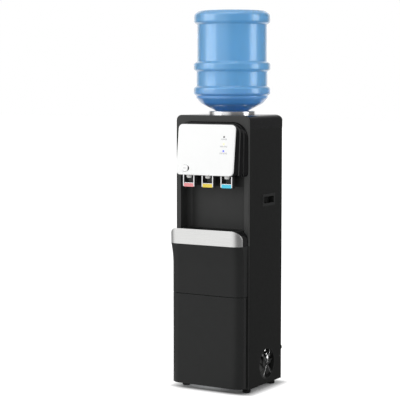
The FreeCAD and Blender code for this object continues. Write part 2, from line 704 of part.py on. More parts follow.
def upper_front_panel():
    outer = straight_panel(UPPER_PANEL_BOTTOM, FLARE_START, 0, 0, band=True).fuse(flared_panel(0, 0, True))
    behind = -FRAME_THICKNESS
    hollow = straight_panel(UPPER_PANEL_BOTTOM + PANEL_WALL, FLARE_START, PANEL_WALL + BAND_STEP, behind)
    hollow = hollow.fuse(flared_panel(PANEL_WALL + BAND_STEP, behind, False))
    pin_hole = cylinder(HINGE_PIN_RADIUS, (HINGE_X, HINGE_Y, UPPER_PANEL_BOTTOM),
                        (HINGE_X, HINGE_Y, UPPER_PANEL_BOTTOM + PANEL_WALL))
    return outer.removeSplitter().cut(hollow).cut(pin_hole)


def tray_trim():
    edge_proud = PANEL_PROUD + FLARE_PROUD - PANEL_EDGE_DROP
    strip = trim_zone(0, 0).cut(trim_zone(TRIM_WALL, -1))
    half_width = PANEL_HALF_WIDTH + FLARE_WIDEN + SEAT_GAP
    front = FRONT_Y - FRONT_REACH - 1
    window = front_box(half_width, TRIM_BOTTOM, TRIM_TOP, front, FRONT_Y - edge_proud, TRIM_CORNER)
    return strip.common(window)


def tray_housing():
    """Floor, front wall and two cheeks round the tray, all four convex."""
    block = trim_zone(TRIM_WALL, 0)
    window = front_box(PANEL_HALF_WIDTH, TRIM_BOTTOM, TRIM_TOP - HOUSING_TOP_DROP, FRONT_Y - FRONT_REACH - 1,
                       FRONT_Y, TRIM_CORNER)
    block = block.common(window)
    reach = TRAY_HALF_WIDTH + TRAY_CLEARANCE
    front = FRONT_Y - TRAY_FRONT_PROUD - TRAY_CLEARANCE
    cells = [(-reach, reach, front, FRONT_Y, TRIM_BOTTOM, TRAY_FLOOR),
             (-HALF_WIDTH, HALF_WIDTH, FRONT_Y - FRONT_REACH, front, TRIM_BOTTOM, TRIM_TOP),
             (-HALF_WIDTH, -reach, front, FRONT_Y, TRIM_BOTTOM, TRIM_TOP),
             (reach, HALF_WIDTH, front, FRONT_Y, TRIM_BOTTOM, TRIM_TOP)]
    return Part.makeCompound([block.common(box(*cell)) for cell in cells])


def tray_block(inset, z0, z1):
    front = FRONT_Y - TRAY_FRONT_PROUD + inset
    rear = FRONT_Y + NICHE_DEPTH - TRAY_BACK_GAP - inset
    half_width = TRAY_HALF_WIDTH - inset
    return plan_box(-half_width, half_width, front, rear, z0, z1, [TRAY_CORNER - inset] * 4)


def drip_tray():
    outer = tray_block(0, TRAY_FLOOR + SEAT_GAP, TRAY_TOP)
    hollow = tray_block(TRAY_WALL, TRAY_FLOOR + SEAT_GAP + TRAY_WALL, TRAY_TOP)
    return outer.cut(hollow)


def drip_grille():
    z0 = TRAY_TOP + SEAT_GAP
    z1 = z0 + GRILLE_THICKNESS
    plate = tray_block(0, z0, z1)
    front = FRONT_Y - TRAY_FRONT_PROUD + GRILLE_MARGIN
    rear = FRONT_Y + NICHE_DEPTH - TRAY_BACK_GAP - GRILLE_MARGIN
    half = GRILLE_SLOT / 2
    corners = [half * 0.99] * 4
    for index in range(GRILLE_SLOT_COUNT):
        x = (index - (GRILLE_SLOT_COUNT - 1) / 2) * GRILLE_PITCH
        plate = plate.cut(plan_box(x - half, x + half, front, rear, z0, z1, corners))
    return plate


# ---------------------------------------------------------------- dispensing head
def lean_frame(share, ledge):
    """Outline of the head between its rim (share 0) and the back of the control panel (share 1)."""
    lean = math.atan2(CONTROL_BOTTOM_PROUD - CONTROL_TOP_PROUD, CONTROL_TOP - CONTROL_BOTTOM)
    back = CONTROL_THICKNESS / math.cos(lean)

    def blend(start, end):
        return start + (end - start) * share

    half_width = blend(HEAD_HALF_WIDTH, CONTROL_HALF_WIDTH - CONTROL_OVERHANG) - ledge
    top = blend(HEAD_TOP, CONTROL_TOP - CONTROL_OVERHANG) - ledge
    bottom = blend(HEAD_BOTTOM, CONTROL_BOTTOM + CONTROL_OVERHANG) + ledge / 2
    slope = (CONTROL_BOTTOM_PROUD - CONTROL_TOP_PROUD) / (CONTROL_TOP - CONTROL_BOTTOM)

    def y_at(z):
        final_proud = CONTROL_TOP_PROUD + (CONTROL_TOP - z) * slope - back
        return FRONT_Y - blend(0, final_proud)

    corners = [(-half_width, y_at(bottom), bottom), (half_width, y_at(bottom), bottom),
               (half_width, y_at(top), top), (-half_width, y_at(top), top)]
    top_radius = blend(HEAD_TOP_RADIUS, CONTROL_CORNER)
    bottom_radius = blend(HEAD_BOTTOM_RADIUS, CONTROL_CORNER)
    return rounded_wire(corners, [bottom_radius, bottom_radius, top_radius, top_radius])


def head_mass(inset):
    pieces = []
    for step in range(HEAD_STEPS):
        near = lean_frame(step / HEAD_STEPS, step * HEAD_STEP_LEDGE / 2 + inset)
        far = lean_frame((step + 1) / HEAD_STEPS, step * HEAD_STEP_LEDGE / 2 + inset)
        pieces.append(Part.makeLoft([near, far], True, True))
    return pieces


def head_base(inset):
    return front_box(HEAD_HALF_WIDTH - inset, HEAD_BOTTOM + inset, HEAD_TOP - inset, FRONT_Y, BODY_Y,
                     HEAD_TOP_RADIUS - inset, HEAD_BOTTOM_RADIUS - inset)


def head_shell():
    outer = join([head_base(0)] + head_mass(0))
    front_wall = control_plate(CONTROL_THICKNESS, CONTROL_THICKNESS + HEAD_WALL, 0)
    shell = outer.cut(head_base(HEAD_WALL))
    for piece in head_mass(HEAD_WALL):
        shell = shell.cut(piece.cut(front_wall))
    reach = LEVER_HALF_WIDTH + EAR_GAP
    front = FRONT_Y - NOZZLE_PROUD - NOZZLE_RADIUS - EAR_GAP
    slot_top = HEAD_BOTTOM + 3 * HEAD_WALL
    for x in TAP_XS:
        shell = shell.cut(box(x - reach, x + reach, front, FRONT_Y, HEAD_BOTTOM - 1, slot_top))
    return shell


def control_plate(near, far, edge):
    """Leaning plate behind the control face, from one depth to another, both square to the face."""
    bottom = Vector(0, FRONT_Y - CONTROL_BOTTOM_PROUD, CONTROL_BOTTOM)
    top = Vector(0, FRONT_Y - CONTROL_TOP_PROUD, CONTROL_TOP)
    inward = (top - bottom).cross(Vector(1, 0, 0)).normalize()
    side = Vector(CONTROL_HALF_WIDTH, 0, 0)
    shift = inward * near
    corners = [bottom - side + shift, bottom + side + shift, top + side + shift, top - side + shift]
    face = Part.Face(rounded_wire([tuple(corner) for corner in corners], [CONTROL_CORNER] * 4))
    plate = face.extrude(inward * (far - near))
    if edge > 0:
        rim = [e for e in plate.Edges if on_plane(e, bottom, inward)]
        plate = plate.makeFillet(edge, rim)
    return plate


def on_plane(edge, origin, normal):
    ends = (edge.FirstParameter, edge.LastParameter)
    return all(abs((edge.valueAt(end) - origin).dot(normal)) < 0.01 for end in ends)


def control_point(x, z, depth):
    """Point at a depth behind the control face, with the direction square to it."""
    slope = (CONTROL_BOTTOM_PROUD - CONTROL_TOP_PROUD) / (CONTROL_TOP - CONTROL_BOTTOM)
    lean = math.atan(slope)
    inward = Vector(0, math.cos(lean), -math.sin(lean))
    surface = Vector(x, FRONT_Y - CONTROL_TOP_PROUD - (CONTROL_TOP - z) * slope, z)
    return surface + inward * depth, inward


def button_block(grow, near, far):
    centre, inward = control_point(BUTTON_X, BUTTON_Z, near)
    up = Vector(1, 0, 0).cross(inward)
    half_w = Vector(BUTTON_WIDTH / 2 + grow, 0, 0)
    half_h = up * (BUTTON_HEIGHT / 2 + grow)
    low = centre - half_h
    high = centre + half_h
    corners = [low - half_w, low + half_w, high + half_w, high - half_w]
    face = Part.Face(rounded_wire([tuple(corner) for corner in corners], [BUTTON_CORNER + grow] * 4))
    return face.extrude(inward * (far - near))


def control_panel():
    plate = control_plate(0, CONTROL_THICKNESS, CONTROL_EDGE)
    plate = plate.cut(button_block(BUTTON_GAP, -1, CONTROL_THICKNESS + 1))
    for z in LAMP_HEIGHTS:
        start, _ = control_point(LAMP_X, z, -1)
        end, _ = control_point(LAMP_X, z, LAMP_DEPTH)
        plate = plate.cut(cylinder(LAMP_RADIUS, tuple(start), tuple(end)))
    return plate


def lamp(z):
    start, _ = control_point(LAMP_X, z, -LAMP_PROUD)
    end, _ = control_point(LAMP_X, z, LAMP_DEPTH)
    body = cylinder(LAMP_RADIUS, tuple(start), tuple(end))
    front = [e for e in body.Edges if on_plane(e, start, end - start)]
    return body.makeFillet(LAMP_PROUD * 0.9, front)


def child_lock_button():
    block = button_block(0, -BUTTON_PROUD, CONTROL_THICKNESS - BUTTON_TRAVEL - SEAT_GAP)
    origin, inward = control_point(BUTTON_X, BUTTON_Z, -BUTTON_PROUD)
    front = [e for e in block.Edges if on_plane(e, origin, inward)]
    return block.makeFillet(BUTTON_PROUD * 0.5, front)


def head_back_plate():
    y0 = BODY_Y
    y1 = y0 + HEAD_BACK_PLATE
    half_width = HALF_WIDTH - FLANGE - SEAT_GAP
    plate = front_box(half_width, NICHE_TOP + NICHE_WALL, HEAD_TOP, y0, y1, HEAD_TOP_RADIUS)
    barb_z = VALVE_BOTTOM + VALVE_HEIGHT / 2
    for x in TAP_XS:
        plate = plate.cut(cylinder(VALVE_BARB_RADIUS + SEAT_GAP, (x, y0 - 1, barb_z), (x, y1 + 1, barb_z)))
        for side in (-1, 1):
            plate = join([plate, lever_ear(x, side)])
    return plate


def lever_ear(x, side):
    near = x + side * (LEVER_HALF_WIDTH + EAR_GAP / 2)
    x0, x1 = sorted((near, near + side * EAR_THICKNESS))
    ear = box(x0, x1, FRONT_Y - LEVER_PIN_PROUD - LEVER_EYE_RADIUS, BODY_Y,
              LEVER_PIN_Z - LEVER_EYE_RADIUS, LEVER_PIN_Z + LEVER_EYE_RADIUS)
    pin_y = FRONT_Y - LEVER_PIN_PROUD
    return ear.cut(cylinder(LEVER_PIN_RADIUS, (x0, pin_y, LEVER_PIN_Z), (x1, pin_y, LEVER_PIN_Z)))


def lever_pins():
    pins = []
    reach = LEVER_HALF_WIDTH + EAR_GAP / 2 + EAR_THICKNESS
    for x in TAP_XS:
        y = FRONT_Y - LEVER_PIN_PROUD
        pins.append(cylinder(LEVER_PIN_RADIUS, (x - reach, y, LEVER_PIN_Z), (x + reach, y, LEVER_PIN_Z)))
    return Part.makeCompound(pins)


# ---------------------------------------------------------------- taps
def lever_frame(x):
    """Chrome U of the lever: two rails that hang from the pin and a bar that joins them."""
    front = FRONT_Y - LEVER_FRONT_PROUD
    rear = front + LEVER_DEPTH
    pin_y = FRONT_Y - LEVER_PIN_PROUD
    eye = LEVER_EYE_RADIUS
    shoulder = LEVER_PIN_Z - 3 * eye
    corners = [LEVER_CORNER, LEVER_CORNER, eye / 2, eye * 0.4, eye * 0.4, eye * 0.4, eye]
    pieces = []
    for side in (-1, 1):
        x0, x1 = sorted((x + side * LEVER_HALF_WIDTH, x + side * (LEVER_HALF_WIDTH - LEVER_RAIL)))
        outline = [(x0, front, LEVER_BOTTOM), (x0, rear, LEVER_BOTTOM), (x0, rear, shoulder),
                   (x0, pin_y + eye, LEVER_PIN_Z), (x0, pin_y, LEVER_PIN_Z + eye),
                   (x0, pin_y - eye, LEVER_PIN_Z + eye / 2), (x0, front, shoulder)]
        pieces.append(Part.Face(rounded_wire(outline, corners)).extrude(Vector(x1 - x0, 0, 0)))
    inner = LEVER_HALF_WIDTH - LEVER_RAIL
    bar_y0 = front + LEVER_LABEL_THICKNESS
    bar_y1 = bar_y0 + LEVER_BAR_THICKNESS
    bar_top = LEVER_BOTTOM + LEVER_LABEL_HEIGHT + LEVER_BAR_LIP
    pieces.append(box(x - inner, x + inner, bar_y0, bar_y1, LEVER_BOTTOM, bar_top))
    bore = LEVER_PIN_RADIUS + RUNNING_CLEARANCE
    reach = LEVER_HALF_WIDTH + 1
    return join(pieces).cut(cylinder(bore, (x - reach, pin_y, LEVER_PIN_Z), (x + reach, pin_y, LEVER_PIN_Z)))


def lever_pad(x):
    """Dark plate between the rails that a cup pushes back."""
    inner = LEVER_HALF_WIDTH - LEVER_RAIL
    y1 = FRONT_Y - LEVER_FRONT_PROUD + LEVER_DEPTH
    top = LEVER_PIN_Z - 3 * LEVER_EYE_RADIUS
    return box(x - inner, x + inner, y1 - LEVER_PAD_THICKNESS, y1, LEVER_BOTTOM, top)


def lever_label(x):
    inner = LEVER_HALF_WIDTH - LEVER_RAIL
    y0 = FRONT_Y - LEVER_FRONT_PROUD
    top = LEVER_BOTTOM + LEVER_LABEL_HEIGHT
    return box(x - inner, x + inner, y0, y0 + LEVER_LABEL_THICKNESS, LEVER_BOTTOM, top)


def tap_nozzle(x):
    y = FRONT_Y - NOZZLE_PROUD
    body = cylinder(NOZZLE_RADIUS, (x, y, NOZZLE_BOTTOM), (x, y, VALVE_BOTTOM))
    body = body.makeFillet(NOZZLE_RADIUS * 0.6, edges_where(body, lambda b: b.ZMax < NOZZLE_BOTTOM + 0.1))
    return body.cut(cylinder(NOZZLE_BORE, (x, y, NOZZLE_BOTTOM), (x, y, VALVE_BOTTOM)))


def tap_valve(x):
    """Valve block over the nozzle, with the barb that takes the water tube."""
    front = FRONT_Y - NOZZLE_PROUD - 1
    top = VALVE_BOTTOM + VALVE_HEIGHT
    block = box(x - VALVE_HALF_WIDTH, x + VALVE_HALF_WIDTH, front, BODY_Y, VALVE_BOTTOM, top)
    z = VALVE_BOTTOM + VALVE_HEIGHT / 2
    barb = cylinder(VALVE_BARB_RADIUS, (x, BODY_Y, z), (x, BODY_Y + VALVE_BARB_LENGTH, z))
    return join([block, barb])


def tap_block():
    """Dark bar across the top of the niche, behind the levers."""
    y1 = FRONT_Y + NICHE_DEPTH
    y0 = y1 - TAP_BLOCK_DEPTH
    reach = NICHE_HALF_WIDTH
    wall = TAP_BLOCK_WALL
    corners = [0, 0, NICHE_CORNER, NICHE_CORNER]
    block = plan_box(-reach, reach, y0, y1, TAP_BLOCK_BOTTOM, NICHE_TOP, corners)
    inner_corners = [0, 0, NICHE_CORNER - wall, NICHE_CORNER - wall]
    hollow = plan_box(-reach + wall, reach - wall, y0 + wall, y1 - wall, TAP_BLOCK_BOTTOM + wall, NICHE_TOP,
                      inner_corners)
    return block.cut(hollow)


# ---------------------------------------------------------------- door and storage
def door_box(inset, back_proud, z0, z1):
    half_width = BAND_HALF_WIDTH - inset
    corner = DOOR_REAR_CORNER - inset
    front = FRONT_Y - (PANEL_PROUD - PANEL_EDGE_DROP)
    return plan_box(-half_width, half_width, front, FRONT_Y - back_proud, z0, z1, [0, 0, corner, corner])


def door_skin():
    edge_proud = PANEL_PROUD - PANEL_EDGE_DROP
    outer = straight_panel(DOOR_BOTTOM, DOOR_TOP, 0, edge_proud)
    hollow = straight_panel(DOOR_BOTTOM + PANEL_WALL, DOOR_TOP - PANEL_WALL, PANEL_WALL, 0)
    return outer.cut(hollow)


def door_liner():
    outer = door_box(0, DOOR_BACK_GAP, DOOR_BOTTOM, DOOR_TOP)
    hollow = door_box(LINER_WALL, DOOR_BACK_GAP + LINER_WALL, DOOR_BOTTOM + LINER_WALL, DOOR_TOP - LINER_WALL)
    liner = outer.cut(hollow)
    bore = HINGE_PIN_RADIUS + RUNNING_CLEARANCE
    boss_length = 2 * HINGE_PIN_REACH
    for z0, z1 in ((DOOR_BOTTOM, DOOR_BOTTOM + boss_length), (DOOR_TOP - boss_length, DOOR_TOP)):
        start = (HINGE_X, HINGE_Y, z0)
        end = (HINGE_X, HINGE_Y, z1)
        liner = join([liner, cylinder(HINGE_BOSS_RADIUS, start, end)])
        liner = liner.cut(cylinder(bore, start, end))
    return liner


def hinge_pins():
    low = cylinder(HINGE_PIN_RADIUS, (HINGE_X, HINGE_Y, FOOT_HEIGHT),
                   (HINGE_X, HINGE_Y, DOOR_BOTTOM + HINGE_PIN_REACH))
    high = cylinder(HINGE_PIN_RADIUS, (HINGE_X, HINGE_Y, DOOR_TOP - HINGE_PIN_REACH),
                    (HINGE_X, HINGE_Y, UPPER_PANEL_BOTTOM + PANEL_WALL))
    return Part.makeCompound([low, high])


def hinge_bracket():
    """Steel tongue under the door that carries the lower pin."""
    x0 = HINGE_X - HINGE_BOSS_RADIUS
    x1 = HINGE_X + HINGE_BOSS_RADIUS
    top = FOOT_HEIGHT + 2 * PAN_SHEET
    tongue = box(x0, x1, HINGE_Y - HINGE_BOSS_RADIUS, FRONT_Y, FOOT_HEIGHT, top)
    start = (HINGE_X, HINGE_Y, FOOT_HEIGHT)
    return tongue.cut(cylinder(HINGE_PIN_RADIUS, start, (HINGE_X, HINGE_Y, DOOR_BOTTOM)))


def door_magnet():
    """Catch magnet in the free edge of the door."""
    x1 = BAND_HALF_WIDTH - DOOR_REAR_CORNER - LINER_WALL
    y1 = FRONT_Y - DOOR_BACK_GAP - LINER_WALL
    z0 = (STORE_BOTTOM + STORE_TOP - MAGNET_HEIGHT) / 2
    return box(x1 - MAGNET_WIDTH, x1, y1 - MAGNET_DEPTH, y1, z0, z0 + MAGNET_HEIGHT)


def storage_box():
    rear = REAR_Y - STORE_REAR_GAP
    outer = box(-STORE_HALF_WIDTH - STORE_WALL, STORE_HALF_WIDTH + STORE_WALL, BODY_Y, rear,
                STORE_BOTTOM - STORE_WALL, STORE_TOP + STORE_WALL)
    hollow = box(-STORE_HALF_WIDTH, STORE_HALF_WIDTH, BODY_Y, rear - STORE_WALL, STORE_BOTTOM, STORE_TOP)
    return outer.cut(hollow)


# ---------------------------------------------------------------- bottle
def bottle_path():
    """Outer (radius, height, rounding) corners of the bottle, from its neck to the middle of its base."""
    path = [(NECK_RADIUS, NECK_END, 0), (NECK_RADIUS, NECK_TOP, 3),
            (BOTTLE_CONE_RADIUS, cone_height(BOTTLE_CONE_RADIUS), BOTTLE_SHOULDER_ROUND),
            (BOTTLE_WAIST_RADIUS + BOTTLE_STEP, BOTTLE_TOP - BOTTLE_SHOULDER_DROP, 3 * BOTTLE_ROUND),
            (BOTTLE_WAIST_RADIUS + BOTTLE_STEP, ring_foot(0), 3)]
    beside = (BOTTLE_WAIST_RADIUS, BOTTLE_BODY_RADIUS)
    for index in range(2):
        ring_top = BOTTLE_TOP - RING_DROPS[index]
        if index > 0:
            path.append((beside[index - 1], ring_foot(index), BOTTLE_ROUND))
        path.append((BOTTLE_RING_RADIUS, ring_top - RING_HEIGHTS[index], BOTTLE_ROUND))
        path.append((BOTTLE_RING_RADIUS, ring_top, BOTTLE_ROUND))
        path.append((beside[index], ring_top + RING_SLOPE, BOTTLE_ROUND))
    base_top = BOTTLE_TOP - RING_DROPS[2]
    punt_radius = BOTTLE_BASE_RADIUS - BOTTLE_STAND_INSET - BOTTLE_STAND_WIDTH
    path += [(BOTTLE_BODY_RADIUS, ring_foot(2), BOTTLE_ROUND),
             (BOTTLE_BASE_RADIUS, base_top - RING_HEIGHTS[2], BOTTLE_ROUND),
             (BOTTLE_BASE_RADIUS, base_top, 2 * BOTTLE_ROUND),
             (BOTTLE_BASE_RADIUS - BOTTLE_STAND_INSET, BOTTLE_TOP, 3 * BOTTLE_ROUND),
             (punt_radius, BOTTLE_TOP, BOTTLE_ROUND),
             (punt_radius - BOTTLE_PUNT, BOTTLE_TOP - BOTTLE_PUNT, BOTTLE_ROUND),
             (0, BOTTLE_TOP - BOTTLE_PUNT, 0)]
    return path


def ring_foot(index):
    """Height where the slope up to a ring starts."""
    return BOTTLE_TOP - RING_DROPS[index] - RING_HEIGHTS[index] - RING_SLOPE


def cone_height(radius):
    return CONE_Z_AT_COLLAR + (radius - CONE_RADIUS_AT_COLLAR) * SHOULDER_SLOPE


def offset_path(path, wall):
    """The same path moved inwards by the wall; inside, only the shoulder is rounded."""
    result = []
    for index, (r, z, rounding) in enumerate(path):
        before = path[max(index - 1, 0)]
        after = path[min(index + 1, len(path) - 1)]
        incoming = unit(r - before[0], z - before[1]) if index > 0 else None
        outgoing = unit(after[0] - r, after[1] - z) if index < len(path) - 1 else None
        incoming = incoming or outgoing
        outgoing = outgoing or incoming
        normal_in = (-incoming[1], incoming[0])
        normal_out = (-outgoing[1], outgoing[0])
        share = 1 + normal_in[0] * normal_out[0] + normal_in[1] * normal_out[1]
        dr = (normal_in[0] + normal_out[0]) * wall / share
        dz = (normal_in[1] + normal_out[1]) * wall / share
        keeps_rounding = rounding == BOTTLE_SHOULDER_ROUND
        result.append((r + dr, z + dz, rounding if keeps_rounding else 0))
    return result


def unit(a, b):
    length = math.hypot(a, b)
    return a / length, b / length


def water_bottle():
    outer = bottle_path()
    inner = offset_path(outer, BOTTLE_WALL)
    outer_edges = path_edges(outer)
    inner_edges = path_edges(inner)
    first = [Vector(path[0][0], 0, path[0][1]) for path in (outer, inner)]
    last = [Vector(0, 0, path[-1][1]) for path in (outer, inner)]
    rim = Part.LineSegment(*first).toShape()
    crown = Part.LineSegment(*last).toShape()
    wire = Part.Wire(Part.__sortEdges__(outer_edges + inner_edges + [rim, crown]))
    solid = Part.Face(wire).revolve(Vector(0, 0, 0), Vector(0, 0, 1), 360)
    solid.translate(Vector(0, BOTTLE_Y, 0))
    return solid


def path_edges(path):
    points = [(r, 0, z) for r, z, _ in path]
    return rounded_edges(points, [rounding for _, _, rounding in path], closed=False)


def bottle_cap():
    """Snap cap on the neck, with the hole that the feed probe pierces."""
    r0 = NECK_RADIUS
    r1 = r0 + CAP_WALL
    hole = PROBE_RADIUS + SEAT_GAP
    z0 = NECK_END - CAP_WALL
    profile = [(hole, z0), (r1, z0), (r1, NECK_END + CAP_HEIGHT), (r0, NECK_END + CAP_HEIGHT), (r0, NECK_END),
               (hole, NECK_END)]
    return revolve(profile, 0, BOTTLE_Y)


def bottle_collar():
    z0 = CABINET_TOP
    z1 = z0 + COLLAR_HEIGHT
    profile = [(COLLAR_BORE, z0), (COLLAR_RADIUS, z0), (COLLAR_RADIUS, z1), (COLLAR_BORE, z1)]
    ring = revolve(profile, 0, BOTTLE_Y)
    return ring.makeFillet(COLLAR_EDGE, [e for e in ring.Edges if e.BoundBox.ZMin > z1 - 0.01])


def bottle_seat():
    """Funnel that the bottle's shoulder rests on, with the socket for its neck."""
    rim_r = COLLAR_BORE - SEAT_GAP
    cone_r = rim_r - SEAT_LIP
    bore = NECK_RADIUS + SEAT_BORE_CLEARANCE
    outer = bore + SEAT_WALL
    flange_r = SEAT_HOLE_RADIUS - SEAT_GAP
    flange = CABINET_TOP - COVER_WALL - SEAT_FLANGE
    skirt = flange - SEAT_RIB
    profile = [(PROBE_RADIUS, SEAT_UNDERSIDE), (outer, SEAT_UNDERSIDE), (outer, skirt),
               (rim_r - SEAT_RIB, flange), (flange_r, flange), (flange_r, CABINET_TOP), (rim_r, CABINET_TOP),
               (rim_r, cone_height(cone_r) - SEAT_GAP), (cone_r, cone_height(cone_r) - SEAT_GAP),
               (bore, cone_height(bore) - SEAT_GAP), (bore, SEAT_FLOOR), (PROBE_RADIUS, SEAT_FLOOR)]
    return revolve(profile, 0, BOTTLE_Y)


def feed_probe():
    """Hollow spike that opens the cap and lets the water down into the cold tank."""
    top = SEAT_UNDERSIDE + PROBE_RISE
    foot = tank_top()
    tip = PROBE_BORE / 2
    profile = [(PROBE_BORE, foot), (PROBE_RADIUS, foot), (PROBE_RADIUS, top), (tip, top + PROBE_POINT),
               (0, top + PROBE_POINT), (0, top + PROBE_POINT / 2), (PROBE_BORE, top)]
    probe = revolve(profile, 0, BOTTLE_Y)
    port_z = top - 2 * PROBE_PORT
    reach = PROBE_RADIUS + 1
    side_port = cylinder(PROBE_PORT, (-reach, BOTTLE_Y, port_z), (reach, BOTTLE_Y, port_z))
    front_port = cylinder(PROBE_PORT, (0, BOTTLE_Y - reach, port_z), (0, BOTTLE_Y + reach, port_z))
    return probe.cut(side_port).cut(front_port)


# ---------------------------------------------------------------- cold tank
def shelf(z, holes):
    y0 = NICHE_REAR_Y
    y1 = REAR_Y - 2 * SHEET
    outer = box(-INNER_X, INNER_X, y0, y1, z - FLANGE, z)
    hollow = box(-INNER_X + SHEET, INNER_X - SHEET, y0 + SHEET, y1 - SHEET, z - FLANGE, z - SHEET)
    plate = outer.cut(hollow)
    for x, y, radius in holes:
        plate = plate.cut(cylinder(radius, (x, y, z - FLANGE), (x, y, z)))
    return plate


def tank_shelf():
    grommet = TUBE_RADIUS + GROMMET_GAP
    return shelf(SHELF_Z, [(0, BOTTLE_Y, grommet), (HOT_RISER_X, HOT_RISER_Y, grommet),
                           (SUCTION_X, SUCTION_Y, grommet)])


def tank_top():
    return SHELF_Z + TANK_BASE_FOAM + TANK_HEIGHT


def tank_insulation():
    z0 = SHELF_Z + TANK_BASE_FOAM
    front = BOTTLE_Y - FOAM_HALF
    rear = BOTTLE_Y + FOAM_HALF
    foam = plan_box(-FOAM_HALF, FOAM_HALF, front, rear, SHELF_Z, tank_top(), [FOAM_CORNER] * 4)
    bore = TANK_RADIUS + SLEEVE_THICKNESS + SEAT_GAP
    foam = foam.cut(cylinder(bore, (0, BOTTLE_Y, z0), (0, BOTTLE_Y, tank_top())))
    foam = foam.cut(cylinder(TUBE_RADIUS + SEAT_GAP, (0, BOTTLE_Y, SHELF_Z), (0, BOTTLE_Y, z0)))
    for x, z in front_ports():
        foam = foam.cut(cylinder(TUBE_RADIUS + SEAT_GAP, (x, front - 1, z), (x, BOTTLE_Y, z)))
    return foam


def front_ports():
    """Where the room and cold tubes leave the front of the tank."""
    return (TAP_XS[1], room_tube_z()), (TAP_XS[2] / 2, cold_tube_z())


def cold_tube_z():
    return SHELF_Z + TANK_BASE_FOAM + COLD_PORT_RISE


def room_tube_z():
    return tank_top() - BAFFLE_DROP + ROOM_PORT_RISE


def cold_tank():
    z0 = SHELF_Z + TANK_BASE_FOAM
    z1 = tank_top()
    shell = cylinder(TANK_RADIUS, (0, BOTTLE_Y, z0), (0, BOTTLE_Y, z1))
    hollow = cylinder(TANK_RADIUS - TANK_WALL, (0, BOTTLE_Y, z0 + TANK_WALL), (0, BOTTLE_Y, z1))
    tank = shell.cut(hollow)
    tank = tank.cut(cylinder(TUBE_BORE, (0, BOTTLE_Y, z0), (0, BOTTLE_Y, z0 + 2 * TANK_WALL)))
    for x, z in front_ports():
        tank = tank.cut(cylinder(TUBE_BORE, (x, BOTTLE_Y - TANK_RADIUS - 1, z), (x, BOTTLE_Y, z)))
    return tank


def evaporator_sleeve():
    z0 = SHELF_Z + TANK_BASE_FOAM + SLEEVE_RISE
    z1 = z0 + SLEEVE_HEIGHT
    return tube_between(TANK_RADIUS + SLEEVE_THICKNESS, TANK_RADIUS, (0, BOTTLE_Y, z0), (0, BOTTLE_Y, z1))


def tank_lid():
    """Foam lid of the cold tank, under the bottle seat."""
    z0 = tank_top()
    z1 = SEAT_UNDERSIDE
    front = BOTTLE_Y - FOAM_HALF
    lid = plan_box(-FOAM_HALF, FOAM_HALF, front, BOTTLE_Y + FOAM_HALF, z0, z1, [FOAM_CORNER] * 4)
    return lid.cut(cylinder(PROBE_RADIUS + SEAT_GAP, (0, BOTTLE_Y, z0), (0, BOTTLE_Y, z1)))


def separator_baffle():
    """Disc that keeps the incoming water apart from the chilled water, on a short central pipe."""
    z0 = tank_top() - BAFFLE_DROP
    z1 = z0 + BAFFLE_THICKNESS
    foot = z0 - BAFFLE_PIPE_LENGTH
    radius = TANK_RADIUS - TANK_WALL - SEAT_GAP
    disc = cylinder(radius, (0, BOTTLE_Y, z0), (0, BOTTLE_Y, z1))
    pipe = cylinder(BAFFLE_PIPE_RADIUS, (0, BOTTLE_Y, foot), (0, BOTTLE_Y, z0))
    bore = cylinder(BAFFLE_PIPE_BORE, (0, BOTTLE_Y, foot), (0, BOTTLE_Y, z1))
    return join([disc, pipe]).cut(bore)


# ---------------------------------------------------------------- hot tank
def hot_shelf():
    grommet = TUBE_RADIUS + GROMMET_GAP
    return shelf(HOT_SHELF_Z, [(HOT_X, HOT_Y, grommet), (SUCTION_X, SUCTION_Y, grommet)])


def hot_tank_bottom():
    return HOT_SHELF_Z + HOT_FOAM


def hot_tank():
    z0 = hot_tank_bottom()
    z1 = z0 + HOT_HEIGHT
    outer = cylinder(HOT_RADIUS, (HOT_X, HOT_Y, z0), (HOT_X, HOT_Y, z1))
    outer = outer.makeFillet(HOT_CORNER, [e for e in outer.Edges if len(e.Vertexes) == 1])
    hollow = cylinder(HOT_RADIUS - TANK_WALL, (HOT_X, HOT_Y, z0 + TANK_WALL), (HOT_X, HOT_Y, z1 - TANK_WALL))
    hollow = hollow.makeFillet(HOT_CORNER - TANK_WALL, [e for e in hollow.Edges if len(e.Vertexes) == 1])
    return outer.cut(hollow)


def heater_band():
    z0 = hot_tank_bottom() + HEATER_RISE
    z1 = z0 + HEATER_HEIGHT
    return tube_between(HOT_RADIUS + HEATER_THICKNESS, HOT_RADIUS, (HOT_X, HOT_Y, z0), (HOT_X, HOT_Y, z1))


def hot_tank_jacket():
    z0 = HOT_SHELF_Z
    z1 = hot_tank_bottom() + HOT_HEIGHT + HOT_FOAM
    outer = cylinder(HOT_RADIUS + HOT_FOAM, (HOT_X, HOT_Y, z0), (HOT_X, HOT_Y, z1))
    hollow = cylinder(HOT_RADIUS + HEATER_THICKNESS + SEAT_GAP, (HOT_X, HOT_Y, hot_tank_bottom()),
                      (HOT_X, HOT_Y, hot_tank_bottom() + HOT_HEIGHT))
    bore = cylinder(TUBE_RADIUS + SEAT_GAP, (HOT_X, HOT_Y, z0), (HOT_X, HOT_Y, z1))
    return outer.cut(hollow).cut(bore)


# ---------------------------------------------------------------- water tubes
def valve_inlet(index):
    return TAP_XS[index], BODY_Y + VALVE_BARB_LENGTH, VALVE_BOTTOM + VALVE_HEIGHT / 2


def cold_tube():
    x, y, z = valve_inlet(2)
    tank_x, low_z = front_ports()[1]
    reach = math.sqrt(TANK_RADIUS ** 2 - (tank_x - TUBE_RADIUS) ** 2)
    tank_y = BOTTLE_Y - reach
    middle_y = y + 2 * TUBE_BEND
    return swept_tube([(tank_x, tank_y, low_z), (tank_x, middle_y, low_z), (x, middle_y - 1, z), (x, y, z)],
                      TUBE_RADIUS, TUBE_BEND / 2)


